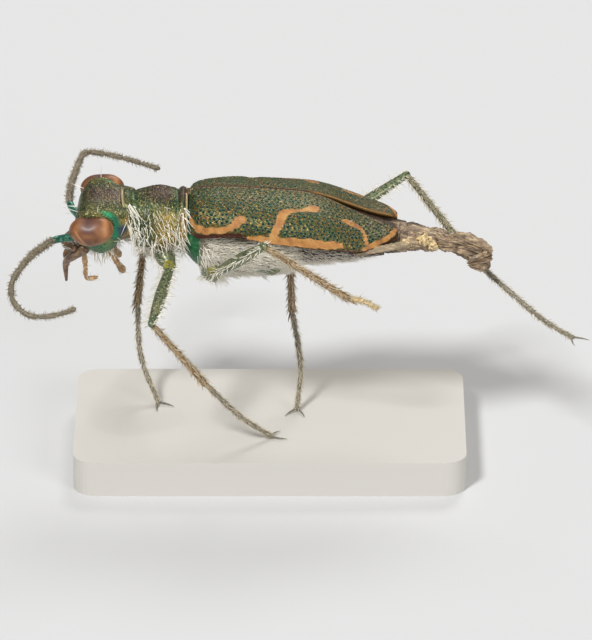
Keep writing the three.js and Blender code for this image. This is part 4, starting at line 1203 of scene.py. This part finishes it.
# %% [markdown]
# White hair: long and curved on the sides and rims of the fore body, short and close on the chest and belly
# sides, and in combs along the thighs. Shins and feet have rows of straw-coloured bristles, and the feelers
# grey-brown ones. The wing cases have only a thin down near their front.
# %% Coats
from_top = ring_from_top(FORE_GRID)
x = FORE_GRID[..., 0]
rims = (bump_at(x, -2.42, 0.05) + 1.6 * bump_at(x, -3.58, 0.06)) * ease(0.6, 0.85, from_top)
upper_side = ease(0.7, 1.0, from_top) * (1 - ease(1.3, 1.6, from_top))
coat("pronotum_hair", [
    sown(FORE_GRID, 330, ease(1.0, 1.7, from_top), 3, 0.3, (0.22, 0.42), 0.0125, (0.45, 0, -0.9), 0.42),
    sown(FORE_GRID, 150, upper_side, 8, 0.25, (0.12, 0.25), 0.008, (0.25, 0, -1), 0.25),
    sown(FORE_GRID, 130, rims, 4, 0.25, (0.25, 0.45), 0.015, (0.25, 0, -1), 0.22),
], HAIR, "fore_body", 0.25)

from_top = ring_from_top(CHEST_GRID)
x = CHEST_GRID[..., 0]
plate_sides = ease(1.25, 1.5, from_top) * ease(-2.05, -1.9, x) * (1 - 0.9 * BARE)
front_tuft = ease(1.5, 1.8, from_top) * bump_at(x, -1.92, 0.14)
coat("chest_hair", [
    sown(CHEST_GRID, 5400, plate_sides, 5, 0.14, (0.16, 0.3), 0.0105, (1, 0, 0.1), 0.22),
    sown(CHEST_GRID, 420, front_tuft, 6, 0.35, (0.3, 0.5), 0.011, (0.9, 0, -0.45), 0.3),
], HAIR, "hind_body", 0.14)

from_top = ring_from_top(BELLY_GRID)
low_front = ease(1.3, 1.6, from_top) * (1 - ease(0.8, 1.9, BELLY_GRID[..., 0]))
coat("belly_hair", [
    sown(BELLY_GRID, 2200, low_front + 0.004, 7, 0.16, (0.12, 0.24), 0.0075, (1, 0, 0), 0.25),
], HAIR, "belly", 0.14)

combs, short = [], []
for k, leg in enumerate(LEGS):
    femur, coxa, tibia, tarsus = (LEG_GRIDS[leg, name] for name in ("femur", "coxa", "tibia", "tarsus"))
    combs += rows_of(femur, (0.0, 0.06, 0.5, 0.56), 0.055, 20 + k, (0.13, 0.22), 0.0145, 0.8)
    combs += rows_of(femur, (0.25, 0.75), 0.11, 70 + k, (0.07, 0.12), 0.008, 0.5)
    combs += rows_of(coxa, (0.1, 0.35, 0.6, 0.85), 0.045, 30 + k, (0.16, 0.3), 0.01, 0.6)
    short += rows_of(tibia, even_shares(7), 0.06, 40 + k, (0.09, 0.17), 0.012, 0.42)
    short += rows_of(tarsus, even_shares(6), 0.05, 50 + k, (0.07, 0.14), 0.0105, 0.36)
coat("thigh_hair", combs, HAIR, "thigh", 0.12)
coat("shin_and_foot_bristles", short, BRISTLE, "shin", 0.1)

whorls = []
for k, ((_, name), grid) in enumerate(FEELER_GRIDS.items()):
    if name != "scape":
        whorls += rows_of(grid, even_shares(7), 0.05, 60 + k, (0.05, 0.1), 0.011, 0.6, 0.25)
coat("feeler_bristles", whorls, DOWN, "feeler", 0.1)

across = np.linspace(0, 1, CASE_ACROSS + 1)
open_face = ease(0.03, 0.2, across) * (1 - ease(0.7, 0.9, across))
fuzz = []
for side, outer in CASE_GRIDS.items():
    to_front = open_face * (1 - 0.8 * ease(-2.0, 0.5, outer[..., 0]))
    fuzz.append(sown(outer, 90, to_front, 90 + side, 0.6, (0.04, 0.09), 0.0035, (1, 0, 0), 0.2))
coat("case_hair", fuzz, HAIR, "wing_case", 0.1)

# %% [markdown]
# The long feeling hairs of the head stand singly: two over each eye, one on each scape, and some on the lip
# and the outstretched palp. Below the cheeks hangs a white beard. Each is rooted at the point of the head
# that lies nearest to where the photograph shows it.
# %% Feeling hairs and beard


def planted(grid, thick, *spots):
    """Single hairs at the grid points nearest to given spots, each with its own aim and length."""
    near, aim, length = (np.array(values, float) for values in zip(*spots))
    flat, normal = grid.reshape(-1, 3), outward(grid).reshape(-1, 3)
    picked = np.linalg.norm(flat - near[:, None], axis=2).argmin(axis=1)
    uv = on_unwrap(*np.divmod(picked, grid.shape[1]), grid)
    root = flat[picked] - normal[picked] * 0.01
    return root, unit(aim), -normal[picked], np.full(len(spots), thick), length, uv


feeling = planted(
    HEAD_GRID, 0.012,
    ((-4.22, 0.6, -0.02), (0, 0.3, 1), 0.3), ((-4.62, 0.42, -0.22), (-1, 0.2, 0.35), 0.32),
    ((-4.7, -0.42, -0.45), (-1, -0.25, 0.5), 0.6), ((-4.3, -0.66, -0.33), (0.1, -0.5, 1), 0.28),
    ((-4.75, 0.1, -0.5), (-1, 0, 0.1), 0.28), ((-4.78, 0.3, -0.6), (-1, 0.1, 0.0), 0.26))
scapes = [planted(FEELER_GRIDS["left", "scape"], 0.011, ((-5.1, -0.25, -1.15), (-1, 0.05, 0.25), 0.45)),
          planted(FEELER_GRIDS["right", "scape"], 0.011, ((-4.85, 0.8, -0.95), (-1, -0.3, 0.1), 0.45))]
x, height = HEAD_GRID[..., 0], HEAD_GRID[..., 2]
chin = ease(-1.42, -1.5, height) * bump_at(x, -4.25, 0.22)
throat = ease(-0.9, -1.2, height) * ease(-4.0, -3.85, x)
beard = sown(HEAD_GRID, 46, chin + 1e-6, 81, 0.6, (0.2, 0.34), 0.0165, (0.1, 0, -1), 0.3)
neck = sown(HEAD_GRID, 90, throat + 1e-6, 82, 0.4, (0.2, 0.32), 0.01, (0.8, 0, -0.6), 0.3)
lip = rows_of(MOUTH_GRIDS["labrum"], (0.0, 0.5), 0.06, 83, (0.08, 0.16), 0.008, 0.7, 0.3)
palps = [hair for name in MOUTH if "palp" in name
         for hair in rows_of(MOUTH_GRIDS[name], (0.1, 0.4, 0.7), 0.12, 84, (0.08, 0.16), 0.008, 0.5, 0.3)]
coat("head_hair", [feeling, *scapes, beard, neck, *lip, *palps], HAIR, "head_shell", 0.15)

# %% [markdown]
# The base is the plain plate that the beetle stands on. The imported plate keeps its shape, and only gets a
# matt, pale grey finish.
# %% Base


def paint_base(tree, spot):
    return {"Normal": relief(tree, noise(tree, spot, 30, 2.0), 0.15, 0.003)}


BASE = finish("matt_acrylic", paint_base, roughness=0.55, base_color=rgb("#c9c6c0"))
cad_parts["stand_base"].data.materials.clear()
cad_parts["stand_base"].data.materials.append(BASE)

# %% [markdown]
# The studio: a pale floor, a soft sky and three broad suns. Suns and sky need no size, which suits a scene
# this small. The camera looks from the beetle's left and 25 degrees above its side, with a long lens, so that
# a millimetre is about as large everywhere.
# %% Floor, light and camera
REACH = 0.4  # half the floor's width in metres
floor_mesh = bpy.data.meshes.new("floor")
floor_mesh.from_pydata([(-REACH, -REACH, 0), (REACH, -REACH, 0), (REACH, REACH, 0), (-REACH, REACH, 0)], [],
                       [(0, 1, 2, 3)])
floor = bpy.data.objects.new("floor", floor_mesh)
bpy.context.scene.collection.objects.link(floor)
floor_mesh.materials.append(finish("floor_paper", paint_base, roughness=0.85, base_color=rgb("#cecfd1")))
floor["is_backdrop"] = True

world = bpy.data.worlds.new("sky")
bpy.context.scene.world = world
world.use_nodes = True
sky = world.node_tree
toward = output(sky, "Z", "ShaderNodeSeparateXYZ", {"Vector": output(sky, "Generated", "ShaderNodeTexCoord")})
overhead = ramp(sky, toward, (0.0, "#54544f"), (0.35, "#8c8a84"), (0.7, "#e8e4dc"), (1.0, "#fff8ea"))
sky.links.new(overhead, sky.nodes["Background"].inputs["Color"])
sky.nodes["Background"].inputs["Strength"].default_value = 0.5
SUNS = {"key": (2.5, 11, -35, 50), "fill": (1.1, 30, 40, 20), "back": (0.9, 20, 165, 45)}
for name, (strength, soft, azimuth, elevation) in SUNS.items():
    lamp = bpy.data.lights.new(name, "SUN")
    lamp.energy, lamp.angle = strength, math.radians(soft)
    sun = bpy.data.objects.new(name, lamp)
    sun.rotation_euler = (math.radians(90 - elevation), 0, math.radians(azimuth))
    bpy.context.scene.collection.objects.link(sun)

PHOTO = (592, 640)
PHOTO_SCALE = 45.5  # pixels in a millimetre of the photograph
ELEVATION = math.radians(25)
TARGET = (0.02, 0, -3.22)
lens = bpy.data.cameras.new("camera")
lens.lens, lens.sensor_width = 400, 36
camera = bpy.data.objects.new("camera", lens)
bpy.context.scene.collection.objects.link(camera)
distance = PHOTO[1] / PHOTO_SCALE * lens.lens / lens.sensor_width * MM
lens.clip_start, lens.clip_end = distance * 0.05, distance * 50
target = place(TARGET)
camera.location = target + distance * np.array([0, -math.cos(ELEVATION), math.sin(ELEVATION)])
camera.rotation_euler = (math.pi / 2 - ELEVATION, 0, 0)
bpy.context.scene.camera = camera
bpy.context.scene.view_settings.view_transform = "Standard"

# %% [markdown]
# Last, the size of the dressed beetle is set beside the solids' own.
# %% Sizes and finish
low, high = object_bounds()
sizes = {"cad": [list(cad_low), list(cad_high)], "visual": [list(low), list(high)]}
print({key: [[round(v / MM, 2) for v in corner] for corner in box] for key, box in sizes.items()})
